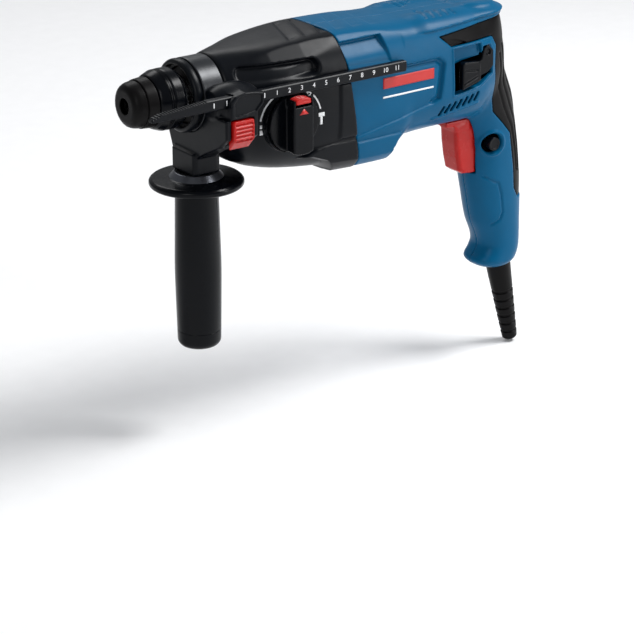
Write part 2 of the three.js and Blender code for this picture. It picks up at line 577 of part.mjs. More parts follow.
function makeSideHandle() {
  const tongue = box(SIDE_X - 5, SIDE_X + 5, -6, 6, -35, -23);
  const band = cut(join(ringX(CLAMP_X0, CLAMP_X1, NECK_R + 0.5, COLLAR_R, {}), tongue),
    cylinderX(0, 30, NECK_R + 0.5), cylinderZ(-40, -22, 3.4, SIDE_X, 0));
  piece(sideHandle, 'clamp_band', band, BLACK);

  const saddle = plateYZ([[-20, -54], [16, -54], [19, -46], [25, -22], [25, -10], [-34, 2],
    [-49.5, 2], [-49.5, -21.5], [-39.5, -31], [-30, -34], [-22, -44]], CLAMP_X0, CLAMP_X1);
  const arch = plateXZ([[CLAMP_X0, -24], [30, -24], [30, 4], [25, 10], [18, 14.2], [12, 15.2],
    [CLAMP_X0, 12]], -49.5, -32.5);
  const underWing = plateYZ([[-55, -35], [-55, -16], [-39.5, -31], [-32, -33]], 0, 40);
  const body = cut(join(saddle, arch),
    underWing,
    cylinderX(0, 40, COLLAR_R + 0.4),
    box(SIDE_X - 5.4, SIDE_X + 5.4, -6.4, 6.4, -35.6, -20),
    cylinderZ(-60, -20, 3.5, SIDE_X, 0),
    box(0, 50, ROD_Y - 2.9, ROD_Y + 2.9, ROD_Z - 4.15, ROD_Z + 4.15),
    box(9.4, 27, -60, -40, -34, -7.0));
  piece(sideHandle, 'clamp_body', body, BLACK);

  piece(sideHandle, 'side_grip', turnedZ([
    [-54.4, 3.4], [-54.4, 14], [-59.2, 19], [-59.2, 31], [GUARD_Z, 32.4], [-63.5, 32.4], [-64.8, 31],
    [-65.6, 17], [-68, 14.6], [-95, 15.4], [-125, 16.1], [-150, 15.6], [-176, 15.1], [GRIP_END, 13.6],
    [GRIP_END, 0], [-104, 0], [-104, 3.4], [-54.4, 3.4],
  ], SIDE_X, 0), RUBBER);
  piece(sideHandle, 'tie_bolt', cylinderZ(-103.6, -26, 3.05, SIDE_X, 0), STEEL);

  const bar = plateYZ([[-2.5, -3], [-1.7, -3.75], [1.7, -3.75], [2.5, -3], [2.5, 3], [1.7, 3.75],
    [-1.7, 3.75], [-2.5, 3]].map(([y, z]) => [y + ROD_Y, z + ROD_Z]), ROD_FRONT, ROD_FRONT + ROD_LENGTH);
  piece(sideHandle, 'depth_rod', bar, BLACK);
  const grooves = [...Array(5).keys()].map((i) => 9.6 + 2.6 * i)
    .map((drop) => box(8, 30, -53, -51.2, -drop - 1.2, -drop));
  const button = cut(plateYZ([[-43.6, -7.4], [-51.9, -7.4], [-51.9, -21.8], [-43.6, -29.6]], 9.8, 26.6),
    ...grooves);
  piece(sideHandle, 'depth_release_button', button, RED);
}

// ---------------------------------------------------------------- controls
function makeControls() {
  const body = plateXZ([[230.6, -62], [243, -58], [243, -99.6], [238.4, -99.6], [235.6, -97],
    [233.6, -88], [231.8, -76]], -9.6, 9.6);
  const flange = plateXZ([[221.4, -57.7], [243, -57.7], [243, -66], [231, -66], [229, -62.2],
    [221.4, -61.4]], -9.6, 9.6);
  const stem = join(box(242, 249.6, -8, 8, -97, -60), box(249, 252.2, -4, 4, -88, -74));
  piece(controls, 'trigger', join(body, flange, stem), RED);
  const module = cut(box(256.4, 278, -10.6, 10.6, -103, -63),
    box(250, 264, -4.6, 4.6, -89, -73), cylinderY(-20, -9.5, LOCK.r + 0.6, LOCK.x, LOCK.z));
  piece(housing, 'switch_module', module, BLACK);
  piece(controls, 'lock_button', turnedY([[-21.2, 0], [-21.2, 4.2], [-20.4, LOCK.r], [-14, LOCK.r],
    [-14, 0]], LOCK.x, LOCK.z, 20), BLACK);

  const arm = plateXZ([[243.6, 0], [243.6, -12.5], [238, -17], [226, -20], [226, -6], [233, -2],
    [234, 1.5], [237, 3.8], [241, 3.8]], -34, LEVER_FLOOR - 0.6);
  const paddle = plateXZ([[228, -7], [228, -20], [212, -24.6], [212, -5.5], [214, -4.4], [227, -5.4]],
    -39.4, LEVER_FLOOR - 0.6);
  const pivot = cylinderY(LEVER_FLOOR - 1.5, -22, 3, LEVER.x, LEVER.z);
  piece(controls, 'direction_lever', join(arm, paddle, pivot), BLACK);

  const { x, z, r, face, proud } = DIAL;
  const disc = turnedY([[face, 0], [face, r - 1.2], [face + 1, r], [face + 3.9, r], [face + 3.9, 0]], x, z);
  const shaft = join(cylinderY(face + 3, -28.5, 6, x, z), cylinderY(-29, -24, 1.8, x, z - 3, 12));
  const round = cylinderY(face - proud - 1, face + 1, r - 0.2, x, z, ROUND);
  const bar = box(x - 8, x + 8, face - proud, face + 0.5, z - 25, z + 25).intersect(round);
  const notch = box(x - 6.6, x + 6.6, face - proud - 1, face - 2, z + 12.2, z + 30);
  piece(controls, 'mode_dial', cut(join(disc, shaft, bar), notch), BLACK);
  const release = box(x - 6.2, x + 6.2, face - proud + 0.4, face - 2.4, z + 14.2, z + 25).intersect(round);
  piece(controls, 'mode_release_button', release, RED);
  const plate = cut(box(61.6, 92, -27.6, -25.2, -38, -12), box(x - 2.9, x + 2.9, -30, -20, z - 12, z + 8));
  piece(housing, 'shift_plate', plate, DARK_STEEL);
}

// ---------------------------------------------------------------- cable entry
function makeCableEntry() {
  const length = 68;
  const width = (d) => 9.6 - (3.9 * d) / length;
  const grooves = [...Array(6).keys()].map((i) => 24 + 7 * i)
    .flatMap((d) => [[d, width(d)], [d + 0.2, width(d) - 1], [d + 2, width(d) - 1], [d + 2.2, width(d)]]);
  piece(housing, 'cable_sleeve', cableTurned([
    [-14, 4], [-14, 11], [-10, 11], [-10, 9.8], [0, 9.8], [3, width(3)], ...grooves,
    [length - 1, width(length)], [length, width(length) - 0.8], [length, 4], [-14, 4],
  ]), RUBBER);
  const saddle = cut(box(270, 287, -9, 9, -160.5, -154), cylinderZ(-170, -140, 4.4, 277, 0));
  piece(housing, 'cable_clamp', saddle, BLACK);
}

makeHousing();
makeBearings();
makeMotor();
makeCountershaft();
makeHammer();
makeSideHandle();
makeControls();
makeCableEntry();

export default hammer;
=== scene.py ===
import math

import bmesh
import bpy
import numpy as np
from mathutils import Matrix, Vector


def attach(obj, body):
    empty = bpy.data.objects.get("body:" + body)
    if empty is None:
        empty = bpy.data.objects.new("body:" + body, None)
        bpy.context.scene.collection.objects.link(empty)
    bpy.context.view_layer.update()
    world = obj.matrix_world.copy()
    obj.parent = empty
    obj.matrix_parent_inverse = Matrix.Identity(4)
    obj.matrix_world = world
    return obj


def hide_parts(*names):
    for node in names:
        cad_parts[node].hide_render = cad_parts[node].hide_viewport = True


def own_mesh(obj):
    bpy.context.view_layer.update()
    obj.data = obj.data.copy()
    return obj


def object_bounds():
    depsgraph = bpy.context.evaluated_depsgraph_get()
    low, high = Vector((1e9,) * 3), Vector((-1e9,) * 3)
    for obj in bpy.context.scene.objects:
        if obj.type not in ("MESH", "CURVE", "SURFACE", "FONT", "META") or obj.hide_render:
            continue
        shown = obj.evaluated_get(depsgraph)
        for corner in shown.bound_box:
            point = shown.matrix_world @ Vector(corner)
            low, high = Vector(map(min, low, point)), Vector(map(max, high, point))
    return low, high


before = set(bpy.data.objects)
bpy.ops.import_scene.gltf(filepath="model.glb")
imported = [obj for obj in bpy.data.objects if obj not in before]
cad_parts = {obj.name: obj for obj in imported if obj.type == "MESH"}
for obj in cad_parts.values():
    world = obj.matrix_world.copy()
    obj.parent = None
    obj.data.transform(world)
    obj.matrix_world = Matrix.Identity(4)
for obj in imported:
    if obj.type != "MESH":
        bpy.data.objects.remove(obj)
cad_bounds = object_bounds()
MM = 0.001


# ---------- camera, floor, light
# Metres and degrees. The view was estimated from the photograph, then fitted with no shift.
CAMERA_PLACE = (-0.84843, -1.32967, 0.47819)
CAMERA_DOWN, CAMERA_ROUND = 22.013, 35.896
LENS, SENSOR = 140.23, 36.0
FLOOR_GAP, FLOOR_REACH = 0.0015, 6.0
LIGHT_AIM = (0.12, 0.0, -0.05)


def make_camera():
    """The photograph's camera."""
    data = bpy.data.cameras.new("camera")
    data.lens = LENS
    data.sensor_width = SENSOR
    data.clip_start = 0.05
    data.clip_end = 50.0
    camera = bpy.data.objects.new("camera", data)
    camera.location = CAMERA_PLACE
    camera.rotation_euler = (math.radians(90 - CAMERA_DOWN), 0.0, math.radians(-CAMERA_ROUND))
    bpy.context.scene.collection.objects.link(camera)
    bpy.context.scene.camera = camera


def area_light(name, towards, distance, size, power):
    """A soft box seen from the object in the given direction."""
    data = bpy.data.lights.new(name, "AREA")
    data.shape = "RECTANGLE"
    data.size, data.size_y = size
    data.energy = power
    light = bpy.data.objects.new(name, data)
    way = Vector(towards).normalized()
    light.location = Vector(LIGHT_AIM) + way * distance
    light.rotation_euler = (-way).to_track_quat("-Z", "Y").to_euler()
    bpy.context.scene.collection.objects.link(light)


def make_studio():
    """White floor, four soft lights and a pale surrounding."""
    floor_z = cad_bounds[0][2] - FLOOR_GAP
    mesh = bpy.data.meshes.new("floor")
    mesh.from_pydata([(x * FLOOR_REACH, y * FLOOR_REACH, floor_z)
                      for x, y in ((-1, -1), (1, -1), (1, 1), (-1, 1))], [], [(0, 1, 2, 3)])
    floor = bpy.data.objects.new("floor", mesh)
    bpy.context.scene.collection.objects.link(floor)
    floor.data.materials.append(make_material("floor_paint", (0.93, 0.93, 0.935), 0.75,
                                              grain=0.002, grain_scale=900, tone=0.01))
    area_light("overhead", (0.55, -0.28, 0.8), 1.6, (0.7, 0.55), 26)
    area_light("front_right", (0.62, -0.8, 0.16), 1.7, (0.22, 1.2), 9)
    area_light("front_left", (-0.9, -0.55, 0.5), 1.8, (0.5, 0.9), 5)
    area_light("back", (0.1, 1.0, 0.9), 1.8, (1.4, 0.6), 9)
    world = bpy.data.worlds.new("studio")
    world.use_nodes = True
    world.node_tree.nodes["Background"].inputs["Color"].default_value = (0.93, 0.96, 1.0, 1)
    world.node_tree.nodes["Background"].inputs["Strength"].default_value = 0.30
    bpy.context.scene.world = world
    bpy.context.scene.view_settings.view_transform = "Standard"


# ---------- materials
TONE_SCALE = 60
GLOSS_SCALE = TONE_SCALE * 2.7
GLOSS_SPREAD = 0.06


def make_material(name, colour, roughness, *, metallic=0.0, grain=0.02, grain_scale=1500,
                  tone=0.12, brushed=None, mirror=0.5):
    """Procedural surface: moulding grain in the bump, slow changes of tone and gloss.

    The grain is a height in millimetres, tone the part by which the colour varies, brushed the
    stretch of all noises and mirror the strength of the clear reflection.
    """
    material = bpy.data.materials.new(name)
    material.use_nodes = True
    tree = material.node_tree
    shader = tree.nodes["Principled BSDF"]
    shader.inputs["Metallic"].default_value = metallic
    shader.inputs["Specular IOR Level"].default_value = mirror
    place = tree.nodes.new("ShaderNodeTexCoord")
    stretch = tree.nodes.new("ShaderNodeMapping")
    if brushed:
        stretch.inputs["Scale"].default_value = brushed
    tree.links.new(place.outputs["Object"], stretch.inputs["Vector"])

    def noise(scale, detail):
        node = tree.nodes.new("ShaderNodeTexNoise")
        node.inputs["Scale"].default_value = scale
        node.inputs["Detail"].default_value = detail
        tree.links.new(stretch.outputs["Vector"], node.inputs["Vector"])
        return node.outputs["Fac"]

    ramp = tree.nodes.new("ShaderNodeValToRGB")
    low = [max(0.0, c * (1 - tone)) for c in colour]
    high = [min(1.0, c * (1 + tone)) for c in colour]
    ramp.color_ramp.elements[0].position = 0.3
    ramp.color_ramp.elements[1].position = 0.7
    ramp.color_ramp.elements[0].color = (*low, 1)
    ramp.color_ramp.elements[1].color = (*high, 1)
    tree.links.new(noise(TONE_SCALE, 6), ramp.inputs["Fac"])
    tree.links.new(ramp.outputs["Color"], shader.inputs["Base Color"])
    gloss = tree.nodes.new("ShaderNodeMapRange")
    gloss.inputs["To Min"].default_value = max(0.03, roughness - GLOSS_SPREAD)
    gloss.inputs["To Max"].default_value = min(1.0, roughness + GLOSS_SPREAD)
    tree.links.new(noise(GLOSS_SCALE, 4), gloss.inputs["Value"])
    tree.links.new(gloss.outputs["Result"], shader.inputs["Roughness"])
    bump = tree.nodes.new("ShaderNodeBump")
    bump.inputs["Strength"].default_value = 1.0
    bump.inputs["Distance"].default_value = grain * MM
    tree.links.new(noise(grain_scale, 3), bump.inputs["Height"])
    tree.links.new(bump.outputs["Normal"], shader.inputs["Normal"])
    return material


make_camera()
make_studio()

BLUE = make_material("blue_plastic", (0.0003, 0.088, 0.196), 0.34, grain=0.01, tone=0.04,
                     mirror=0.11)
BLACK = make_material("black_plastic", (0.0020, 0.0029, 0.0048), 0.34, grain=0.01, tone=0.08,
                      mirror=0.14)
DARK = make_material("black_smooth", (0.0015, 0.0021, 0.0034), 0.24, grain=0.006, tone=0.08,
                     mirror=0.13)
RUBBER = make_material("rubber", (0.0040, 0.0036, 0.0038), 0.38, grain=0.015, tone=0.1,
                       mirror=0.09)
RED = make_material("red_plastic", (0.44, 0.008, 0.006), 0.26, grain=0.006, tone=0.02,
                    mirror=0.25)
HUB = make_material("grey_steel", (0.10, 0.105, 0.12), 0.30, metallic=0.8, grain=0.01, tone=0.08)
WHITE = make_material("white_print", (0.80, 0.81, 0.82), 0.5, grain=0.004, tone=0.04)
RED_PRINT = make_material("red_print", (0.50, 0.010, 0.007), 0.45, grain=0.004, tone=0.05)
STEEL = make_material("ground_steel", (0.50, 0.51, 0.53), 0.26, metallic=1, grain=0.006,
                      grain_scale=700, tone=0.08, brushed=(9, 1, 1))
PHOSPHATE = make_material("phosphated_steel", (0.13, 0.13, 0.135), 0.42, metallic=1, grain=0.02)
LAMINATION = make_material("laminated_core", (0.20, 0.20, 0.205), 0.4, metallic=1, grain=0.06,
                           grain_scale=420, brushed=(6, 0.2, 0.2))
COPPER = make_material("copper", (0.62, 0.24, 0.11), 0.28, metallic=1, grain=0.02, grain_scale=600)
BRASS = make_material("brass", (0.60, 0.44, 0.17), 0.3, metallic=1, grain=0.012)
CARBON = make_material("carbon", (0.018, 0.018, 0.019), 0.6, grain=0.03)
ALUMINIUM = make_material("cast_aluminium", (0.50, 0.51, 0.52), 0.45, metallic=1, grain=0.04)
BLACK_STEEL = make_material("black_steel", (0.016, 0.018, 0.022), 0.32, metallic=0.3, grain=0.01)


# ---------- fields
def smooth_min(a, b, k):
    """The lesser of two fields, blended over k."""
    h = np.clip(0.5 + 0.5 * (b - a) / k, 0, 1)
    return b + (a - b) * h - k * h * (1 - h)


def smooth_max(a, b, k):
    """The greater of two fields, blended over k."""
    return -smooth_min(-a, -b, k)


def ease(t):
    """0 up to t = 0, 1 from t = 1, with a soft change between."""
    t = np.clip(t, 0, 1)
    return t * t * (3 - 2 * t)


def line_distance(u, v, points):
    """Distance to an open line."""
    best = np.full(u.shape, 1e9, np.float32)
    for (ax, ay), (bx, by) in zip(points, points[1:]):
        ex, ey = bx - ax, by - ay
        wx, wy = u - ax, v - ay
        t = np.clip((wx * ex + wy * ey) / (ex * ex + ey * ey), 0, 1)
        best = np.minimum(best, (wx - ex * t) ** 2 + (wy - ey * t) ** 2)
    return np.sqrt(best)


def outline(u, v, points):
    """Signed distance to a closed outline, negative inside."""
    closed = list(points) + [points[0]]
    inside = np.zeros(u.shape, bool)
    for (ax, ay), (bx, by) in zip(closed, closed[1:]):
        if ay != by:
            inside ^= ((ay > v) != (by > v)) & (u < (bx - ax) * (v - ay) / (by - ay) + ax)
    return np.where(inside, -1.0, 1.0) * line_distance(u, v, closed)


def block(x, y, z, low, high, r=0.0):
    """Signed distance to a box with rounded edges."""
    q = [np.abs(p - (a + b) / 2) - (b - a) / 2 + r for p, a, b in zip((x, y, z), low, high)]
    out = np.sqrt(sum(np.maximum(c, 0) ** 2 for c in q))
    return out + np.minimum(np.maximum(np.maximum(q[0], q[1]), q[2]), 0) - r


def smooth_table(rows):
    """Monotone curves through a table's rows, sampled every millimetre."""
    rows = np.array(rows, float)
    rows = rows[np.argsort(rows[:, 0])]
    x, made = rows[:, 0], []
    fine = np.arange(x[0], x[-1] + 1, 1)
    for k in range(1, rows.shape[1]):
        y = rows[:, k]
        h, d = np.diff(x), np.diff(y) / np.diff(x)
        m = np.r_[d[0], (d[:-1] + d[1:]) / 2, d[-1]]
        for i in range(len(d)):
            if d[i] == 0:
                m[i] = m[i + 1] = 0
            else:
                a, b = m[i] / d[i], m[i + 1] / d[i]
                m[i] *= 1 if a > 0 else 0
                m[i + 1] *= 1 if b > 0 else 0
                s = math.hypot(a, b)
                if s > 3:
                    m[i], m[i + 1] = 3 * a / s * d[i], 3 * b / s * d[i]
        i = np.clip(np.searchsorted(x, fine) - 1, 0, len(x) - 2)
        t = np.clip((fine - x[i]) / h[i], 0, 1)
        made.append((2 * t**3 - 3 * t**2 + 1) * y[i] + (t**3 - 2 * t**2 + t) * h[i] * m[i]
                    + (3 * t**2 - 2 * t**3) * y[i + 1] + (t**3 - t**2) * h[i] * m[i + 1])
    return fine, made


# ---------- meshes
def add_piece(name, mesh, material, body, slot, *nodes):
    """Puts a mesh into the scene as a piece that rides a body and may replace CAD nodes."""
    mesh.materials.clear()
    mesh.materials.append(material)
    piece = bpy.data.objects.new(name, mesh)
    bpy.context.scene.collection.objects.link(piece)
    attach(piece, body)
    if nodes:
        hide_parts(*nodes)
    return piece


def new_piece(name, points, faces, material, body, slot, *nodes, smooth=True):
    """A piece from points in millimetres and faces."""
    mesh = bpy.data.meshes.new(name)
    faces = faces if isinstance(faces, list) else faces.tolist()
    mesh.from_pydata(np.asarray(points, float) * MM, [], faces)
    mesh.polygons.foreach_set("use_smooth", [smooth] * len(mesh.polygons))
    mesh.update()
    return add_piece(name, mesh, material, body, slot, *nodes)


CELL_CORNERS = [(a, b, c) for a in (0, 1) for b in (0, 1) for c in (0, 1)]
LAYER = 24        # grid planes worked out at once
PROBE = 0.08      # millimetres to each side for a slope
MAX_MOVE = 0.45   # of a grid step, in one move onto the surface


def sample(field, axes, detail, band):
    """Values of a field on a grid. The detail is worked out only where the field is below band."""
    values = np.empty([len(a) for a in axes], np.float32)
    for i in range(0, len(axes[0]), LAYER):
        x, y, z = np.meshgrid(axes[0][i:i + LAYER], axes[1], axes[2], indexing="ij")
        part = field(x, y, z).astype(np.float32)
        if detail:
            near = part < band
            part[near] = detail(x[near], y[near], z[near], part[near])
        values[i:i + LAYER] = part
    return values


def crossing_means(values, cells):
    """Mean of the crossings on each cell's edges, counted in grid steps."""
    corner = {s: values[tuple((cells + s).T)] for s in CELL_CORNERS}
    total, hits = np.zeros((len(cells), 3)), np.zeros(len(cells))
    for s in CELL_CORNERS:
        for k in range(3):
            if s[k]:
                continue
            e = list(s)
            e[k] = 1
            va, vb = corner[s], corner[tuple(e)]
            cross = (va < 0) != (vb < 0)
            t = np.where(cross, va / np.where(cross, va - vb, 1), 0)
            point = np.tile(np.array(s, float), (len(cells), 1))
            point[:, k] = t
            total += point * cross[:, None]
            hits += cross
    return cells + total / hits[:, None]


def settle(points, value, step):
    """The points after two moves onto the surface, along its slope."""
    for _ in range(2):
        here = value(points)
        slope = np.empty_like(points)
        for k in range(3):
            shift = np.zeros(3)
            shift[k] = PROBE
            slope[:, k] = (value(points + shift) - value(points - shift)) / (2 * PROBE)
        size = np.maximum((slope**2).sum(1), 0.2)
        move = slope * (here / size)[:, None]
        length = np.linalg.norm(move, axis=1, keepdims=True)
        points = points - move * np.minimum(1, MAX_MOVE * step / np.maximum(length, 1e-9))
    return points


def cell_quads(inside, number):
    """A face through the four cells round each grid edge that crosses the surface."""
    n = inside.shape
    quads = []
    for k in range(3):
        first = np.take(inside, range(n[k] - 1), axis=k)
        second = np.take(inside, range(1, n[k]), axis=k)
        where = np.argwhere(first != second)
        u, v = (k + 1) % 3, (k + 2) % 3
        for side in (u, v):
            where = where[(where[:, side] > 0) & (where[:, side] < n[side] - 1)]
        ring = []
        for du, dv in ((1, 1), (0, 1), (0, 0), (1, 0)):
            cell = where.copy()
            cell[:, u] -= du
            cell[:, v] -= dv
            ring.append(number[tuple(cell.T)])
        ring = np.stack(ring, 1)
        flip = first[tuple(where.T)]
        ring[~flip] = ring[~flip][:, ::-1]
        quads.append(ring)
    return np.concatenate(quads)


def surface(field, low, high, step, detail, band):
    """Points and faces of the zero surface of a field inside a box."""
    axes = [np.arange(a, b + step, step, dtype=np.float32) for a, b in zip(low, high)]
    values = sample(field, axes, detail, band)
    inside = values < 0
    n = np.array(values.shape)
    count = np.zeros(n - 1, np.int8)
    for a, b, c in CELL_CORNERS:
        count += inside[a:n[0] - 1 + a, b:n[1] - 1 + b, c:n[2] - 1 + c]
    cells = np.argwhere((count > 0) & (count < len(CELL_CORNERS)))
    number = np.full(n - 1, -1, np.int32)
    number[tuple(cells.T)] = np.arange(len(cells))
    points = crossing_means(values, cells) * step + [a[0] for a in axes]

    def value(p):
        x, y, z = p.T
        d = field(x, y, z)
        return detail(x, y, z, d) if detail else d

    return settle(points, value, step), cell_quads(inside, number)


def field_piece(name, field, low, high, step, material, body, slot, *nodes, detail=None, band=7.0):
    """A piece that is the zero surface of a field between two corners of a box."""
    points, faces = surface(field, low, high, step, detail, band)
    return new_piece(name, points, faces, material, body, slot, *nodes)


MAX_FILLET = 0.48   # of a side's length, so that two fillets never meet
FILLET_POINTS = 6


def fillet(profile):
    """Profile points (a, r) or (a, r, fillet radius), with the marked corners rounded."""
    made = []
    for i, entry in enumerate(profile):
        if len(entry) == 2:
            made.append(entry)
            continue
        p = np.array(entry[:2], float)
        before = np.array(profile[i - 1][:2], float) - p
        after = np.array(profile[(i + 1) % len(profile)][:2], float) - p
        reach = min(entry[2], *(np.linalg.norm(side) * MAX_FILLET for side in (before, after)))
        a = p + before / np.linalg.norm(before) * reach
        b = p + after / np.linalg.norm(after) * reach
        for t in np.linspace(0, 1, FILLET_POINTS):
            made.append(tuple((1 - t) ** 2 * a + 2 * t * (1 - t) * p + t**2 * b))
    return made


def turned(name, profile, place, material, body, slot, *nodes, segments=112):
    """Turned piece: place(a, x, y) puts a point at a along the axis and (x, y) across it."""
    rings = fillet(profile)
    points, faces = [], []
    for a, r in rings:
        for i in range(segments):
            t = 2 * math.pi * i / segments
            points.append(place(a, r * math.cos(t), r * math.sin(t)))
    for k in range(len(rings) - 1):
        if rings[k][1] == 0 and rings[k + 1][1] == 0:
            continue
        first, second = k * segments, (k + 1) * segments
        for i in range(segments):
            j = (i + 1) % segments
            faces.append((first + i, first + j, second + j, second + i))
    piece = new_piece(name, points, faces, material, body, slot, *nodes)
    tidy(piece)
    piece.modifiers.new("even_normals", "WEIGHTED_NORMAL").keep_sharp = True
    return piece


def tidy(piece):
    """Merges doubled points and turns all faces outwards."""
    work = bmesh.new()
    work.from_mesh(piece.data)
    bmesh.ops.remove_doubles(work, verts=work.verts, dist=1e-7)
    bmesh.ops.dissolve_degenerate(work, edges=work.edges, dist=1e-7)
    bmesh.ops.recalc_face_normals(work, faces=work.faces)
    work.to_mesh(piece.data)
    work.free()
    piece.data.polygons.foreach_set("use_smooth", [True] * len(piece.data.polygons))
    piece.data.update()


def along_x(a, x, y):
    return a, x, y


def bell(distance, width):
    """1 on a line, falling to nothing a little beyond the width."""
    return np.exp(-((distance / width) ** 2))


FOLD_REACH, FOLD_STEP = 11.0, 1.6


def fold(x, y, start, end):
    """A shallow step across the top, easing back to nothing over its reach."""
    ahead = x - (start[0] + (y - start[1]) * (end[0] - start[0]) / (end[1] - start[1]))
    return ease((ahead + FOLD_STEP / 2) / FOLD_STEP) * ease((FOLD_REACH - ahead) / FOLD_REACH)


def ring_distance(u, v, centre):
    """Distance from a round feature's centre."""
    return np.hypot(u - centre[0], v - centre[1])


# ---------- outer form of the machine
BODY_FRONT, BODY_REAR = 21.8, 262
HANDLE_TOP, HANDLE_FOOT = 28.6, -178
# Sections along X: x, top, bottom, half width, squareness above and below
BODY_X, BODY = smooth_table([
    (BODY_FRONT, 25.6, -30, 25.6, 2.0, 2.0), (30, 26.6, -46, 29.5, 2.3, 2.2), (42, 27.6, -54, 33.5, 2.8, 2.4),
    (56, 28.8, -58.5, 36.7, 3.6, 2.6), (75, 30.4, -62, 38.4, 4.2, 2.7), (100, 31.8, -65, 39.4, 4.4, 2.7),
    (140, 31.2, -67, 39.4, 4.4, 2.7), (161, 29.6, -64.5, 39.3, 4.4, 2.7), (171, 29.2, -57, 39, 4.4, 2.7),
    (206, 29, -55.8, 38.4, 4.6, 2.7), (236, 28.5, -56.2, 35.5, 4.4, 2.6), (252, 27.2, -46, 30, 3.6, 2.4),
    (BODY_REAR, 23.4, -36, 24, 2.6, 2.2)])
# Handle sections along Z: z, front, rear, half width
HANDLE_Z, HANDLE = smooth_table([
    (HANDLE_TOP, 228, 258, 24), (26, 222, 263.5, 29.5), (15, 219, 264.5, 31.5), (-15, 219, 269.8, 30),
    (-43, 226, 283, 24), (-60, 240, 287.5, 20.5), (-78, 245, 291, 19.5), (-100, 246, 294, 19.5),
    (-120, 249.5, 295, 19), (-140, 254, 295, 18.5), (-160, 261, 294.8, 18), (-166, 258.5, 294.5, 18),
    (-172, 254.5, 292.5, 18), (HANDLE_FOOT, 259, 287, 15)])
# How far the shoulders' bevel stands from the spindle axis, against x
SHOULDER = ([22, 39, 55, 80, 104, 150, 162, 175], [27, 31.5, 35.2, 38.4, 40.2, 40.3, 44, 48])
BEVEL_Y, BEVEL_Z = 0.68, 0.735
ROD_SWEEP = 40.4   # the depth rod passes outside this radius when the side handle turns
RUBBER_EDGE = [(192, 17), (262, 23), (330, 23), (330, -124), (285, -124), (280, -116), (278.4, -99),
               (274, -72), (266, -63), (255, -52), (251.5, -41), (249, -26), (246.5, -14), (246.5, 2),
               (242, 9), (203, 8)]
WALL = 3.2
SEAM_X, SEAM_TOP, SEAM_LEAN, SEAM_LENGTH = 107.5, 36, 0.17, 1.014
SEAM_GAP, EDGE_R = 0.15, 0.9   # half the gap between shells and the rounding of their edges


def oval(u, v, wide, tall, n):
    """Distance to an oval of squareness n, nearly true close to it."""
    a = np.maximum(np.abs(u) / wide, 1e-3)
    b = np.maximum(np.abs(v) / tall, 1e-3)
    rho = (a**n + b**n) ** (1 / n)
    slope = rho ** (1 - n) * np.hypot(a ** (n - 1) / wide, b ** (n - 1) / tall)
    return (rho - 1) / slope


def body(x, y, z):
    """A squared oval drawn along X, with bevelled upper shoulders."""
    top, bottom, half, above, below = (np.interp(x, BODY_X, c) for c in BODY)
    mid = (top + bottom) / 2
    d = oval(y, z - mid, half, (top - bottom) / 2, np.where(z > mid, above, below))
    d = smooth_max(d, BEVEL_Y * np.abs(y) + BEVEL_Z * z - np.interp(x, *SHOULDER), 0.5)
    swept = np.hypot(y, z) - ROD_SWEEP - ease((x - 160) / 14) * 12 - ease((4 - z) / 10) * 30
    d = smooth_max(d, swept, 0.7)
    return smooth_max(smooth_max(d, BODY_FRONT - x, 3), x - BODY_REAR, 4)


def handle(x, y, z):
    """An oval drawn along Z, from inside the body down to the cable."""
    front, rear, half = (np.interp(z, HANDLE_Z, c) for c in HANDLE)
    d = oval(x - (front + rear) / 2, y, (rear - front) / 2, half, 2.3)
    return smooth_max(smooth_max(d, HANDLE_FOOT - z, 4), z - HANDLE_TOP, 4)


def outer(x, y, z):
    """Body and handle together, without relief."""
    return smooth_min(body(x, y, z), handle(x, y, z), 6)


def seam(x, z):
    """Distance behind the slanted joint of the black and blue shells."""
    return (x - SEAM_X - (SEAM_TOP - z) * SEAM_LEAN) / SEAM_LENGTH


def roof(y, z):
    """1 over the middle of the machine's top, nothing at its sides and below."""
    return ease((21 - np.abs(y)) / 5) * ease(z / 5)


def carve(d, tool, k=0.5):
    """d with a tool's inside taken away, the edge rounded by k."""
    return smooth_max(d, -tool, k)


# ---------- blue shells
LABEL = [(90, 4.5), (160, 3.2), (191, 3.2), (197, -1.5), (194, -27.5), (189, -30), (122, -43.2), (90, -50)]
LABEL_GROOVE = [(90, 2.4), (160, 1.2), (190, 1.2), (194.4, -2.4), (191.8, -26.2), (187, -28.3)]
SCOOP = [(90, 25.6), (144.8, 26.2), (149.5, 6.8), (90, 8.6)]
SKIRT = [(90, -43.5), (122, -46), (161.5, -45.5), (156.5, -57), (152, -90), (90, -90)]
LEVER_BACK = [(232.3, 3.5), (238.5, 3.7), (241.9, -1.4), (242.4, -17.5), (229, -24.4), (206.2, -27.2)]
LEVER_SHALLOW = [(204.3, 6.2), (229.5, 6.6), (231.2, -2.8)] + LEVER_BACK
LEVER_POCKET = [(206.6, -6.3), (214.8, -4.4), (230.8, -2.8)] + LEVER_BACK
LEVER_BED = -33.6
LOCK, LOCK_HOLE_R, LOCK_RING_R = (258.4, -77.6), 7.3, 9.0
HANDLE_SCREWS = [(232, 19), (156, -51), (269, -134)]
BOSS_R, HEAD_R, SCREW_R = 6.2, 4.3, 2.4
TRIGGER_WELL = ((210, -10.4, -100.8), (253, 10.4, -57.2))
HANDLE_GROOVE = [(253.5, -102.8), (264.6, -109.4), (267.6, -119), (269.7, -132.8), (267.7, -138.7),
                 (262.2, -142)]
VENTS = [(196.6 + 5.2 * i, -37.5 + 0.92 * i) for i in range(7)]
VENT_RIDGE = [(189.7, -43.2), (230.5, -37.6)]
TOP_SLOTS = [((193.3 + 4.9 * i, -7.1 - 3.5 * i), (187.6 + 6.3 * i, -26)) for i in range(5)]
TOP_BANDS = [((126.7, 12.9), (110.8, -32.4)), ((137.3, 9.4), (126.6, -29.9)),
             ((147.9, 5.9), (143.4, -32))]
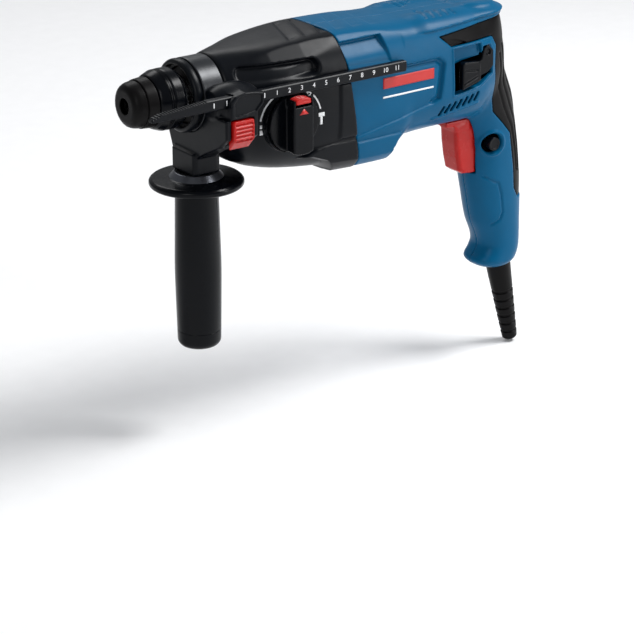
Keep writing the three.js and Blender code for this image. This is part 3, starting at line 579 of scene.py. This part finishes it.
CABLE_TOP, CABLE_TILT = (281.5, HANDLE_FOOT), math.radians(12.3)
CABLE_HOLE_R = 10.2
FOOT_STAND, FOOT_SLOPE = 6.0, 2.8


def foot(x, y, z, d, base, edge, half, depth):
    """d with a block standing out of the flank inside an edge, down to a depth."""
    area = np.maximum(outline(x, z, edge), np.maximum(np.abs(y) - half, -depth - z))
    out = base - FOOT_STAND * ease(-area / FOOT_SLOPE)
    return np.where(area < 0, np.minimum(d, out), d)


def blue_relief(x, y, z, d):
    """Moulded relief of the blue shells: what is added to d lies deeper."""
    base = d
    flank = ease((np.abs(y) - 18) / 6) * ease((z + 75) / 10)
    d = d + flank * 1.5 * ease(-outline(x, z, LABEL) / 1.3)
    d = d + flank * 1.7 * bell(line_distance(x, z, LABEL_GROOVE), 1.7)
    scoop = ease(-outline(x, z, SCOOP) / 2.2)
    d = d + flank * scoop * (0.8 + 3.0 * ease((z - 10) / 13))
    d = foot(x, y, z, d, base, SKIRT, 38.2, 68)
    d = d - flank * 1.1 * bell(line_distance(x, z, VENT_RIDGE), 1.0)
    cap_edge = 20.4 + 0.045 * (x - 176)
    ledge = ease((z - cap_edge) / 1.6) * ease((x - 172) / 14) * ease((np.abs(y) - 8) / 12)
    d = d - 1.8 * ledge
    for start, end in TOP_SLOTS:
        slot = np.minimum(*(line_distance(x, side * y, (start, end)) for side in (1, -1)))
        d = d + ease(z / 5) * 0.9 * bell(slot, 1.3)
    for start, end in TOP_BANDS:
        d = d + roof(y, z) * 0.6 * fold(x, y, start, end)
    grip = ease((-y - 8) / 4)
    d = d + grip * 1.1 * bell(line_distance(x, z, HANDLE_GROOVE), 0.8)
    around = ring_distance(x, z, LOCK)
    lock_ring = 0.6 * ease(8.4 - around) - 1.3 * bell(around - LOCK_RING_R, 1.1)
    return d + np.where(y < 0, lock_ring, 0)


def cable_frame(x, z):
    """Depth along the cable axis and distance across it, in the middle plane."""
    dx, dz = x - CABLE_TOP[0], z - CABLE_TOP[1]
    down = (math.sin(CABLE_TILT), -math.cos(CABLE_TILT))
    return dx * down[0] + dz * down[1], dx * down[1] - dz * down[0]


def blue_half(side):
    """Detail of one half of the motor housing and handle: side -1 is the control side."""
    def shell(x, y, z, base):
        d = blue_relief(x, y, z, base)
        d = carve(d, np.maximum(d, base) + WALL, 0.3)
        if side < 0:
            d = d - 0.6 * bell(outline(x, z, LEVER_SHALLOW) - 1.2, 0.7)
            bed = block(x, y, z, (202, LEVER_BED, -29.5), (246, LEVER_BED + 2, 9), 0.3)
            d = np.minimum(d, np.maximum(bed, base + 0.6))
            d = carve(d, np.maximum(outline(x, z, LEVER_SHALLOW), y - LEVER_BED), 0.7)
            d = carve(d, np.maximum(outline(x, z, LEVER_POCKET), y + 27), 0.7)
            d = carve(d, np.maximum(ring_distance(x, z, LOCK) - LOCK_HOLE_R, y + 8), 0.4)
        else:
            for place in HANDLE_SCREWS:
                r = ring_distance(x, z, place)
                d = np.minimum(d, np.maximum(r - BOSS_R, np.maximum(base + 0.5, 8 - y)))
                d = carve(d, np.maximum(r - HEAD_R, 10.5 - y), 0.5)
                d = carve(d, r - SCREW_R, 0.2)
        for vx, vz in VENTS:
            slot = line_distance(x, z, ((vx - 1.2, vz - 2.6), (vx + 1.2, vz + 2.4))) - 1.3
            d = carve(d, np.maximum(slot, 20 - np.abs(y)), 0.4)
        d = carve(d, block(x, y, z, *TRIGGER_WELL, 0.8), 0.8)
        d = carve(d, np.maximum(outline(x, z, RUBBER_EDGE) - SEAM_GAP, -(base + 3.8)), 0.7)
        down, across = cable_frame(x, z)
        d = carve(d, np.maximum(np.hypot(across, y) - CABLE_HOLE_R, -down - 20), 0.4)
        d = smooth_max(d, SEAM_GAP - seam(x, z), EDGE_R)
        return smooth_max(d, -side * y + 0.02, 0.05)

    return shell


# Both boxes start where the parting plane, y = 0, falls midway between two grid planes
HALF_STEP = 0.85
LEFT_START, RIGHT_START = -50.5 * HALF_STEP, -2.5 * HALF_STEP
field_piece("motor_shell_left", outer, (100, LEFT_START, -182), (298, 2, 34), HALF_STEP, BLUE, "housing",
            "blue_shell", "motor_housing_left", detail=blue_half(-1), band=9)
field_piece("motor_shell_right", outer, (100, RIGHT_START, -182), (298, 43, 34), HALF_STEP, BLUE,
            "housing", "blue_shell", "motor_housing_right", detail=blue_half(1), band=9)


# ---------- rubber back of the handle
GRIP_WAVES = [[(260, 4), (264, -16), (267.5, -30), (276, -45), (284, -62), (288, -82), (290, -104)],
              [(256, 0), (260, -16), (262, -31), (271, -48), (280.5, -65), (284.5, -84), (286.5, -104)],
              [(252.5, -6), (256, -20), (256.8, -33), (266, -51), (276.5, -68), (281, -86), (283, -102)]]


def grip_skin(x, y, z, base):
    """Detail of the rubber: a skin with three waves, between two edges."""
    d = base + 0.7 + 0.7 * ease((z + 5) / 12)
    for wave in GRIP_WAVES:
        d = d + 1.0 * bell(line_distance(x, z, wave), 0.9)
    d = smooth_max(d, outline(x, z, RUBBER_EDGE) + SEAM_GAP, EDGE_R)
    return carve(d, base + 3.6, 0.2)


field_piece("grip_skin", outer, (188, -36, -128), (298, 36, 27), 0.8, RUBBER, "housing", "soft_rubber",
            "rear_grip", detail=grip_skin, band=6)


# ---------- black gear housing
DIAL, DIAL_R = (65.8, -20.5), 20.0
CUP_R = DIAL_R + 1.2
NECK_R, COLLAR_R = 22, 25
BLACK_SCOOP = ((35, 13.4), (83.5, 14.2))
FLANGE = [(103.6, 0), (150, 0), (150, -41.6), (104.2, -41.6)]
FOOT = [(72, -50), (80, -46.5), (88, -44), (100, -42.6), (150, -44), (150, -90), (112, -90), (104, -66),
        (96, -56), (84, -51)]


def black_form(x, y, z):
    """The body with the round neck and collar in front."""
    r = np.hypot(y, z)
    neck = smooth_max(r - NECK_R, np.abs(x - 14) - 11, 0.4)
    collar = smooth_max(r - COLLAR_R, np.abs(x - 1.8) - 3.4, 3.0)
    return smooth_min(body(x, y, z), np.minimum(neck, collar), 0.8)


def black_relief(x, y, z, base):
    """Moulded relief of the black shell."""
    flank = ease((np.abs(y) - 14) / 8)
    hollow = ease((6.6 - line_distance(x, z, BLACK_SCOOP)) / 3.2)
    deep = 2.6 + 2.0 * np.clip((x - 28) / 54, 0, 1)
    slope = 0.25 + 0.75 * np.clip((z - 7.5) / 10, 0, 1)
    d = base + flank * hollow * deep * (slope + (1.15 - slope) * ease((x - 64) / 20))
    d = d - flank * 1.3 * ease(-outline(x, z, FLANGE) / 2.4)
    d = foot(x, y, z, d, base, FOOT, 38.6, 69)
    (ax, ay), (bx, by) = TOP_BANDS[0]
    for shift in (13, 26, 39):
        d = d + roof(y, z) * 0.9 * fold(x, y, (ax - shift, ay), (bx - shift, by))
    return d


def black_shell(x, y, z, base):
    """Detail of the gear housing: relief, hollow inside, bores and the cup for the mode dial."""
    d = black_relief(x, y, z, base)
    r = ring_distance(x, z, DIAL)
    d = smooth_min(d, np.maximum(r - CUP_R, np.maximum(-38.6 - y, y + 30)), 0.8)
    d = carve(d, np.maximum(np.maximum(d, base) + WALL, 24 - x), 0.3)
    for bore_r, bore_end in ((19.4, 40), (21.5, 3.2)):
        d = carve(d, np.maximum(np.hypot(y, z) - bore_r, x - bore_end), 0.4)
    d = np.minimum(d, np.maximum(r - CUP_R, np.maximum(-38 - y, y + 34.8)))
    d = carve(d, np.maximum(r - DIAL_R - 0.5, y + 37.4), 0.6)
    d = carve(d, r - 6.3 + np.maximum(0, y + 20) * 4, 0.2)
    return smooth_max(d, seam(x, z) + SEAM_GAP, EDGE_R)


field_piece("gear_case", black_form, (-4, -44, -72), (124, 44, 36), 0.92, BLACK, "housing",
            "black_plastic", "gear_housing", detail=black_shell, band=8)


# ---------- nose: turned pieces
turned("nose_cap", [(-42, 5.6, 0.6), (-42, 11.2, 2.0), (-40.4, 14.0, 2.2), (-37.6, 15.4, 2.0),
                    (-33.4, 16.0, 0.3), (-33.2, 15.4, 0.2), (-32.5, 15.4, 0.2), (-32.2, 16.6, 0.5),
                    (-25.2, 17.2, 0.4), (-24.6, 17.0, 0.3), (-24.5, 13), (-26.6, 13), (-26.6, 9.3),
                    (-36.3, 9.3), (-36.3, 7), (-38, 5.6, 0.5)],
       along_x, RUBBER, "spindle", "soft_rubber", "dust_cap")
SLEEVE = [(-24, 13.2), (-24, 17.5, 0.7), (-22.6, 18.6, 0.8), (-17.9, 20.35, 0.5)]
for groove in (-17.3, -15.9, -14.5):
    SLEEVE += [(groove - 0.3, 20.5, 0.15), (groove, 19.9, 0.15), (groove + 0.35, 20.6, 0.15)]
SLEEVE += [(-13.2, 20.75, 0.4), (-7, 20.75, 1.4), (-5.4, 19.9, 0.5), (-5.4, 18.9, 0.3), (-20.2, 18.6),
           (-20.2, 13.2)]
turned("nose_sleeve", SLEEVE + [SLEEVE[0]], along_x, DARK, "locking_sleeve", "black_plastic",
       "locking_sleeve", segments=144)


def make_spring(start=-19.2, end=-5.0, coil=15.8, wire=0.75, turns=4, sides=10, steps=160):
    """Coil spring, drawn as one fixed coil; on the machine it closes up as the locking sleeve is drawn back.
    """
    points = []
    for i in range(steps + 1):
        t = i / steps
        a = 2 * math.pi * turns * t
        for k in range(sides):
            b = 2 * math.pi * k / sides
            r = coil + wire * math.cos(b)
            points.append((start + (end - start) * t + wire * math.sin(b), r * math.cos(a), r * math.sin(a)))
    faces = [tuple(range(sides)), tuple(len(points) - 1 - k for k in range(sides))]
    for i in range(steps):
        for k in range(sides):
            j = (k + 1) % sides
            faces.append((sides * i + k, sides * (i + 1) + k, sides * (i + 1) + j, sides * i + j))
    spring = new_piece("spring", points, faces, STEEL, "spindle", "steel", "sleeve_spring")
    tidy(spring)
    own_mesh(spring)


make_spring()


# ---------- side handle
GRIP_X, CLAMP_HALF, BOLT_R = 13.4, 8.0, 3.4


def bolt_hole(x, y, z, r, top):
    """The tie bolt's hole, from below up to a height."""
    return np.maximum(np.hypot(x - GRIP_X, y) - r, z - top)


def band_form(x, y, z):
    """Ring round the neck with a tongue for the tie bolt."""
    r = np.hypot(y, z)
    ring = smooth_max(np.abs(r - 23.7) - 1.3, np.abs(x - GRIP_X) - CLAMP_HALF, 0.5)
    tongue = block(x, y, z, (GRIP_X - 5, -6, -35), (GRIP_X + 5, 6, -23.4), 1)
    return carve(smooth_min(ring, tongue, 1), bolt_hole(x, y, z, BOLT_R, -22), 0.2)


field_piece("band", band_form, (4, -27, -37), (23, 27, 27), 0.5, BLACK_STEEL, "side_handle", "black_steel",
            "clamp_band")

SADDLE = [(-13, -53), (13.5, -53), (16, -44), (25, -22), (25, -10), (-34, 2), (-49.5, 2), (-49.5, -20.5),
          (-40, -28), (-25, -35.5), (-13.5, -42)]
ARCH = [(9.4, -24), (9.4, 5.8), (13, 9), (21, 10.6), (28, 10), (36, 8.7), (36, 1), (31, -4), (31, -24)]
WEDGE = [(-56, -36), (-56, -14.5), (-40, -27.8), (-30, -33.2)]
WING = [(12.4, -5.4), (12.4, 4), (15.5, 7.8), (22, 8.8), (28, 8.2), (34, 7), (34, 2.2), (29, -3)]


def clamp_form(x, y, z):
    """Saddle, tower and arch of the clamp body, with its bores and the rod's and button's openings."""
    saddle = smooth_max(outline(y, z, SADDLE) + 0.2, np.abs(x - GRIP_X) - CLAMP_HALF, 1.6)
    saddle = carve(saddle, block(x, y, z, (0, -60, -7), (9.4, -36, 20), 1), 1.2)
    arch = smooth_max(outline(x, z, ARCH) + 0.2, np.abs(y + 41) - 8.5, 1.4)
    tower = block(x, y, z, (2.6, -13, -54.2), (24.2, 13.6, -38.5), 1.4)
    saddle = smooth_min(saddle, tower, 2.0)
    dome = (np.sqrt(((x - 22) / 22) ** 2 + ((y + 30) / 16) ** 2 + (z / 13) ** 2) - 1) * 13
    dome = smooth_max(dome, 5.6 - x, 1.0)
    d = smooth_min(saddle, smooth_min(arch, dome, 2.5), 2)
    d = carve(d, outline(y, z, WEDGE), 1.0)
    d = carve(d, np.hypot(y, z) - 25.3, 0.5)
    d = carve(d, block(x, y, z, (7.8, -6.5, -35.8), (19, 6.5, -20), 0.6), 0.3)
    d = carve(d, bolt_hole(x, y, z, BOLT_R + 0.1, -20), 0.2)
    d = carve(d, block(x, y, z, (-5, -45.8, 0.5), (50, -40.2, 8.5), 0.6), 0.4)
    d = carve(d, block(x, y, z, (9.2, -60, -40), (27.2, -40.2, -6.8), 0.8), 0.8)
    return carve(d, np.maximum(outline(x, z, WING), y + 48.5), 0.5)


field_piece("clamp", clamp_form, (1.4, -52, -56), (39, 28, 20), 0.5, BLACK, "side_handle", "black_plastic",
            "clamp_body")


def along_grip(a, x, y):
    return GRIP_X + x, y, a


turned("grip", [(-54.4, 3.4), (-54.4, 13.6, 0.8), (-58.6, 18.6, 1.4), (-59.2, 30.6, 0.8),
                (-60.9, 32.5, 1), (-63.6, 32.5, 1), (-64.9, 30.8, 0.8), (-65.6, 17.6, 2.4),
                (-69, 14.9, 2), (-95, 15.5, 8), (-125, 16.2, 10), (-150, 15.7, 8), (-168.6, 15.3),
                (-169, 14.9), (-169.4, 14.9), (-169.8, 15.25), (-178, 15.1, 2.4), (-181, 12.6, 2.4),
                (-181, 0), (-104, 0), (-104, 3.4), (-54.4, 3.4)],
       along_grip, DARK, "side_grip", "grip_rubber", "side_grip")
turned("grip_hub", [(-54.3, 12.6), (-54.3, 15.2, 0.5), (-58.9, 19, 0.7), (-59.5, 19.6, 0.3),
                    (-60.2, 19.6, 0.3), (-60.2, 12.6), (-54.3, 12.6)],
       along_grip, HUB, "side_grip", "dark_steel")


# ---------- depth rod and its scale
ROD_Y, ROD_Z, ROD_FRONT, ROD_END = -43.0, 4.5, -49.0, 157.0
ROD_HALF, ROD_HALF_HEIGHT, ROD_CHAMFER, ROD_STEP = 2.5, 3.75, 0.6, 0.4
TOOTH_PITCH, TOOTH_DEPTH, TEETH_END = 2.0, 0.55, -6
NUMBER_PITCH, FIRST_MARK, MARKS, NUMBERS = 10, -1.4, 5, 11


def make_rod():
    """Flat-sided bar, eight points round, toothed and tapered on its upper edge in front."""
    points = []
    for k in range(int((ROD_END - ROD_FRONT) / ROD_STEP) + 1):
        x = ROD_FRONT + ROD_STEP * k
        narrower = 0.5 * (1 - min(1, min(x - ROD_FRONT, ROD_END - x) / 0.8))
        taper = 2.6 * max(0, min(1, (TEETH_END - x) / 36)) + 2.4 * max(0, 1 - (x - ROD_FRONT) / 7)
        tooth = TOOTH_DEPTH * max(0, math.sin(2 * math.pi * x / TOOTH_PITCH)) if x < TEETH_END else 0
        wide, tall = ROD_HALF - narrower, ROD_HALF_HEIGHT - narrower
        edge_y, edge_z = wide - ROD_CHAMFER, tall - ROD_CHAMFER
        for y, z in ((-wide, -edge_z), (-edge_y, -tall), (edge_y, -tall), (wide, -edge_z),
                     (wide, edge_z), (edge_y, tall), (-edge_y, tall), (-wide, edge_z)):
            points.append((x, ROD_Y + y, ROD_Z + z - (tooth + taper if z > 0 else 0)))
    faces = []
    for ring in range(0, len(points) - 8, 8):
        for i in range(8):
            j = (i + 1) % 8
            faces.append((ring + i, ring + j, ring + 8 + j, ring + 8 + i))
    faces.append(tuple(range(7, -1, -1)))
    faces.append(tuple(range(len(points) - 8, len(points))))
    new_piece("rod", points, faces, BLACK, "depth_rod", "black_plastic", "depth_rod", smooth=False)


make_rod()


def plate(name, low, high, *rest):
    """Thin printed mark with bevelled edges. The rest is material, body and slot; the slot is not used."""
    work = bmesh.new()
    bmesh.ops.create_cube(work, size=1.0)
    size = [(b - a) * MM for a, b in zip(low, high)]
    middle = [(b + a) / 2 * MM for a, b in zip(low, high)]
    bmesh.ops.scale(work, vec=size, verts=work.verts)
    bmesh.ops.translate(work, vec=middle, verts=work.verts)
    bmesh.ops.bevel(work, geom=work.edges, offset=min(size) * 0.3, segments=2, affect="EDGES")
    mesh = bpy.data.meshes.new(name)
    work.to_mesh(mesh)
    work.free()
    add_piece(name, mesh, *rest)


def lettering(name, text, size, place, *rest):
    """Generic numerals facing -Y, as a thin mesh. The rest is material, body and slot; the slot is not used.
    """
    curve = bpy.data.curves.new(name, "FONT")
    curve.body = text
    curve.size = size * MM
    curve.extrude = 0.06 * MM
    curve.align_x = "CENTER"
    curve.align_y = "CENTER"
    made = bpy.data.objects.new(name + "_text", curve)
    bpy.context.scene.collection.objects.link(made)
    bpy.context.view_layer.update()
    mesh = bpy.data.meshes.new_from_object(made)
    bpy.data.objects.remove(made)
    mesh.transform(Matrix.Translation(Vector(place) * MM) @ Matrix.Rotation(math.radians(90), 4, "X"))
    add_piece(name, mesh, *rest)


def make_scale():
    """Plain marks in front, then the numerals, on the rod's outer side."""
    face = ROD_Y - ROD_HALF
    rest = WHITE, "depth_rod", "black_plastic"
    for i in range(MARKS + NUMBERS):
        x = FIRST_MARK + NUMBER_PITCH * i
        if i < MARKS:
            low, high = (x - 0.4, face - 0.1, ROD_Z - 1.7), (x + 0.4, face + 0.2, ROD_Z + 1.7)
            plate(f"scale_mark_{i}", low, high, *rest)
        else:
            lettering(f"scale_number_{i}", str(i - MARKS + 1), 4.6, (x, face - 0.05, ROD_Z), *rest)


make_scale()


BUTTON = [(-43.8, -7.4), (-51.6, -7.4), (-52.3, -12), (-52.1, -21.0), (-44.2, -29.4)]
BUTTON_X, BUTTON_HALF, RIB_PITCH = 18.2, 8.2, 2.7


def button_form(x, y, z):
    """The depth rod's release button with its finger ribs."""
    across = np.abs(x - BUTTON_X)
    d = smooth_max(outline(y, z, BUTTON) + 0.4, across - BUTTON_HALF, 1.2)
    ribs = np.mod(-z - 9.2, RIB_PITCH) - RIB_PITCH / 2
    inside = ease((-z - 8.6) / 0.6) * ease((z + 22.5) / 0.6) * ease((BUTTON_HALF - 1 - across) / 0.8)
    return d + 1.1 * inside * bell(ribs, 0.75) * ease((-y - 47) / 2)


field_piece("rod_button", button_form, (8, -54, -31), (28.5, -42.5, -6), 0.3, RED, "depth_button",
            "red_plastic", "depth_release_button")


# ---------- trigger, lock button, lever
TRIGGER = [(230.4, -62), (243, -58), (249.4, -58), (249.4, -99.8), (238.6, -99.8), (235.4, -97.4),
           (233.2, -88), (231.4, -76)]
TRIGGER_FLANGE = [(221.6, -57.8), (243, -57.8), (243, -66), (231, -66), (229, -62), (221.6, -61.2)]
TRIGGER_HALF = 9.7


def trigger_form(x, y, z):
    """Rounded finger rest in front, with a flange above and a plunger behind."""
    sides = np.abs(y) - TRIGGER_HALF
    d = smooth_max(outline(x, z, TRIGGER), sides - 2.0 * ease((x - 238) / 8), 3.6)
    d = np.maximum(d, sides)
    flange = smooth_max(outline(x, z, TRIGGER_FLANGE), sides, 1.2)
    plunger = block(x, y, z, (246, -4, -88), (252.2, 4, -74), 1)
    return smooth_min(smooth_min(d, flange, 1.4), plunger, 0.4)


field_piece("trigger_cap", trigger_form, (219, -11, -102), (254, 11, -56), 0.45, RED, "trigger",
            "red_plastic", "trigger")

turned("lock_cap", [(-20.3, 0), (-20.3, 3.3), (-20.5, 3.8, 0.3), (-20.5, 5, 0.8), (-14, 5, 0.3),
                    (-14, 0)],
       lambda a, x, y: (LOCK[0] + x, a, LOCK[1] + y), DARK, "lock_button", "black_plastic",
       "lock_button", segments=64)

ARM = [(243.4, -0.6), (243.4, -12.3), (238.2, -16.6), (224, -20.4), (221, -14), (224, -10), (232.4, -6),
       (234.2, 1.5), (237, 3.6), (240.8, 3.4)]
PADDLE = [(228, -7), (228.4, -19.6), (212, -24.4), (212, -5.7), (214, -4.6), (227, -5.6)]
LINK = [(222, -11), (229, -9), (229, -19), (222, -19.5)]
PIVOT, PIVOT_R = (238.5, -2.5), 3


def lever_form(x, y, z):
    """Curved arm on its pivot, with a paddle for the thumb."""
    arm = smooth_max(outline(x, z, ARM), np.abs(y + 31.6) - 3, 1.0)
    paddle = smooth_max(outline(x, z, PADDLE), np.abs(y + 36.8) - 2.6, 1.0)
    d = smooth_min(arm, paddle, 1.2)
    d = smooth_min(d, smooth_max(outline(x, z, LINK), np.abs(y + 34) - 3, 0.8), 0.6)
    pivot = np.maximum(ring_distance(x, z, PIVOT) - PIVOT_R, np.maximum(y + 22, -34 - y))
    d = smooth_min(d, pivot, 0.4)
    d = d + 0.7 * bell(line_distance(x, z, [(214.6, -10.4), (224.8, -11.6)]), 0.6) * (y < -37)
    d = d - 0.6 * bell(line_distance(x, z, [(214.2, -20.4), (224.6, -16.8)]), 0.7) * (y < -37)
    hole = ring_distance(x, z, (238.3, -1.6))
    return d + 1.2 * ease((2.4 - hole) / 0.8) * (y < -32)


field_piece("lever", lever_form, (210, -41, -27), (246, -21, 6), 0.4, DARK, "direction_lever",
            "black_plastic", "direction_lever")


# ---------- mode dial
BAR_HALF, NOTCH_HALF, NOTCH_START = 8.2, 6.6, 13.7
RELEASE_HALF, RELEASE_START = 6.1, 15.5


def dial_form(x, y, z):
    """Disc with a tapered finger bar, hollowed and notched for the release button."""
    r = ring_distance(x, z, DIAL)
    disc = smooth_max(r - DIAL_R, np.abs(y + 39.6) - 1.9, 0.8)
    side = np.abs(x - DIAL[0]) - BAR_HALF + 0.10 * (y + 52)
    bar = smooth_max(smooth_max(side, r - 19.8, 0.8), np.abs(y + 46) - 6.0, 1.4)
    scoop = ((z - DIAL[1] + 4) / 17) ** 2 + ((y + 44) / 5.5) ** 2 - 1
    bar = carve(bar, np.maximum(scoop * 3, NOTCH_HALF - np.abs(x - DIAL[0])), 1.2)
    d = smooth_min(disc, bar, 1.2)
    notch = block(x, y, z, (DIAL[0] - NOTCH_HALF, -60, DIAL[1] + NOTCH_START),
                  (DIAL[0] + NOTCH_HALF, -43.5, DIAL[1] + 30), 0.4)
    d = carve(d, notch, 0.4)
    shaft = np.maximum(r - 6, np.maximum(y + 28.5, -40 - y))
    return smooth_min(d, shaft, 0.3)


field_piece("dial", dial_form, (44, -53.5, -42), (88, -27, 1), 0.45, DARK, "mode_dial", "black_plastic",
            "mode_dial")


def release_form(x, y, z):
    """The dial's release button, rounded to the bar's end."""
    d = block(x, y, z, (DIAL[0] - RELEASE_HALF, -52, DIAL[1] + RELEASE_START),
              (DIAL[0] + RELEASE_HALF, -43.9, DIAL[1] + 26), 0.9)
    d = smooth_max(d, ring_distance(x, z, DIAL) - 19.7, 0.8)
    return d + 0.5 * bell(np.mod(y + 0.2, 2.2) - 1.1, 0.35) * (z > DIAL[1] + 17)


field_piece("dial_release", release_form, (58, -53, -8), (74, -43, 1), 0.3, RED, "mode_release",
            "red_plastic", "mode_release_button")


# ---------- cable sleeve
def sleeve_profile(length=68.0, top_r=9.6, tip_r=5.7):
    """Tapered cable sleeve with six rings cut round it."""
    def width(d):
        return top_r - (top_r - tip_r) * d / length

    rows = [(-14, 4), (-14, 11, 0.5), (-10, 11, 0.5), (-10, 9.8), (0, 9.8), (3, width(3), 1.0)]
    for i in range(6):
        d = 24 + 7 * i
        rows += [(d, width(d), 0.3), (d + 0.5, width(d) - 1.1, 0.3), (d + 2.0, width(d) - 1.1, 0.3),
                 (d + 2.5, width(d), 0.3)]
    rows += [(length - 1.2, width(length), 0.6), (length, width(length) - 1.2, 0.4), (length, 4), (-14, 4)]
    return rows


def along_cable(a, x, y):
    s, c = math.sin(CABLE_TILT), math.cos(CABLE_TILT)
    return CABLE_TOP[0] + a * s + x * c, y, CABLE_TOP[1] - a * c + x * s


turned("cable_guard", sleeve_profile(), along_cable, RUBBER, "housing", "soft_rubber", "cable_sleeve",
       segments=72)


# ---------- prints on the shells
HALVINGS = 26


def skin(form, relief, x, z):
    """The shell's y on the control side at points (x, z), found by halving."""
    near, far = np.full(len(x), -50.0), np.full(len(x), -15.0)
    for _ in range(HALVINGS):
        y = (near + far) / 2
        base = form(x, y, z)
        inside = relief(x, y, z, base) < 0
        far, near = np.where(inside, y, far), np.where(inside, near, y)
    return near


def print_line(name, path, width, form, relief, material, slot, raise_by=0.12):
    """Thin raised stroke that follows the shell's surface."""
    path = np.array(path, float)
    steps = np.r_[0, np.cumsum(np.linalg.norm(np.diff(path, axis=0), axis=1))]
    at = np.linspace(0, steps[-1], max(2, int(steps[-1]) + 1))
    x, z = np.interp(at, steps, path[:, 0]), np.interp(at, steps, path[:, 1])
    tx, tz = np.gradient(x), np.gradient(z)
    size = np.hypot(tx, tz)
    nx, nz = -tz / size * width / 2, tx / size * width / 2
    across = max(2, int(width / 0.8) + 1)
    grid_x = np.stack([x + nx * s for s in np.linspace(-1, 1, across)], 1)
    grid_z = np.stack([z + nz * s for s in np.linspace(-1, 1, across)], 1)
    y = skin(form, relief, grid_x.ravel(), grid_z.ravel()).reshape(grid_x.shape)
    top = np.stack([grid_x, y - raise_by, grid_z], -1).reshape(-1, 3)
    low = np.stack([grid_x, y + 0.4, grid_z], -1).reshape(-1, 3)
    n, m, count = len(at), across, len(top)
    faces = []
    for i in range(n - 1):
        for j in range(m - 1):
            a, b, c, e = i * m + j, i * m + j + 1, (i + 1) * m + j + 1, (i + 1) * m + j
            faces += [(a, b, c, e), (count + e, count + c, count + b, count + a)]
    rim = [i * m for i in range(n)] + [(n - 1) * m + j for j in range(1, m)]
    rim += [i * m + m - 1 for i in range(n - 2, -1, -1)] + list(range(m - 2, 0, -1))
    for a, b in zip(rim, rim[1:] + rim[:1]):
        faces.append((a, b, count + b, count + a))
    tidy(new_piece(name, np.concatenate([top, low]), faces, material, "housing", slot))


def dial_arc(start, end, r):
    """Points of an arc round the mode dial, between two angles in degrees."""
    angles = np.radians(np.linspace(start, end, 16))
    return [(DIAL[0] + r * math.cos(t), DIAL[1] + r * math.sin(t)) for t in angles]


def make_pointer():
    """Red triangle on the face of the mode dial's bar."""
    at = [(DIAL[0] - 3.6, DIAL[1] + 8.6), (DIAL[0] + 3.6, DIAL[1] + 8.6), (DIAL[0], DIAL[1] + 12.6)]
    points = [(x, y, z) for y in (-52.12, -51.8) for x, z in at]
    faces = [(0, 1, 2), (5, 4, 3), (0, 3, 4, 1), (1, 4, 5, 2), (2, 5, 3, 0)]
    tidy(new_piece("dial_pointer", points, faces, RED_PRINT, "mode_dial", "black_plastic", smooth=False))


make_pointer()


DIAL_SIGNS = [
    ("dial_arc_left", dial_arc(126, 172, 22.9), 1.1),
    ("dial_arc_right", dial_arc(43, 13, 23.2), 1.1),
    ("dial_square_upper", [(43.9, -20), (43.9, -22.6)], 2.4),
    ("dial_square_lower", [(44, -23.6), (44.2, -27.2)], 2.4),
    ("hammer_head", [(86.2, -19.4), (91.8, -19.4)], 2.8),
    ("hammer_stem", [(89.2, -20.6), (89.2, -26.4)], 1.9),
    ("drill_icon", [(77.4, -1.6), (81.2, -2.6), (79.4, -5), (77.4, -1.6)], 0.6),
]
LABEL_ENDS = (142.5, 187)


def make_prints():
    """White signs round the dial, and a bar and a line where the photo has lettering."""
    for name, path, width in DIAL_SIGNS:
        print_line(name, path, width, black_form, black_relief, WHITE, "black_plastic")
    bar, line = ([(x, z) for x in LABEL_ENDS] for z in (-7.6, -17.6))
    print_line("label_bar", bar, 7.4, body, blue_relief, RED_PRINT, "blue_shell", 0.5)
    print_line("label_line", line, 1.3, body, blue_relief, WHITE, "blue_shell")


make_prints()


# ---------- finishes of the CAD parts
CAD_FINISHES = [
    (STEEL, "spindle_bearing_front spindle_bearing_rear countershaft_bearing_front countershaft_bearing_rear"
            " motor_bearing_front motor_bearing_rear armature_shaft countershaft countershaft_gear"
            " wobble_sleeve wobble_ring tool_holder hammer_tube spindle_gear locking_ball lock_ring"
            " impact_bolt striker tie_bolt"),
    (PHOSPHATE, "gear_housing_screw_1 gear_housing_screw_2 gear_housing_screw_3 gear_housing_screw_4"
                " handle_screw_1 handle_screw_2 handle_screw_3 shift_plate"),
    (LAMINATION, "stator_core armature_core"),
    (COPPER, "field_coil_upper field_coil_lower commutator"),
    (BRASS, "brush_holder_left brush_holder_right"),
    (CARBON, "carbon_brush_left carbon_brush_right"),
    (ALUMINIUM, "bearing_bracket piston"),
    (BLACK, "cooling_fan switch_module cable_clamp"),
    (RUBBER, "spindle_seal"),
]
for finish, names in CAD_FINISHES:
    for name in names.split():
        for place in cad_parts[name].material_slots:
            place.material = finish
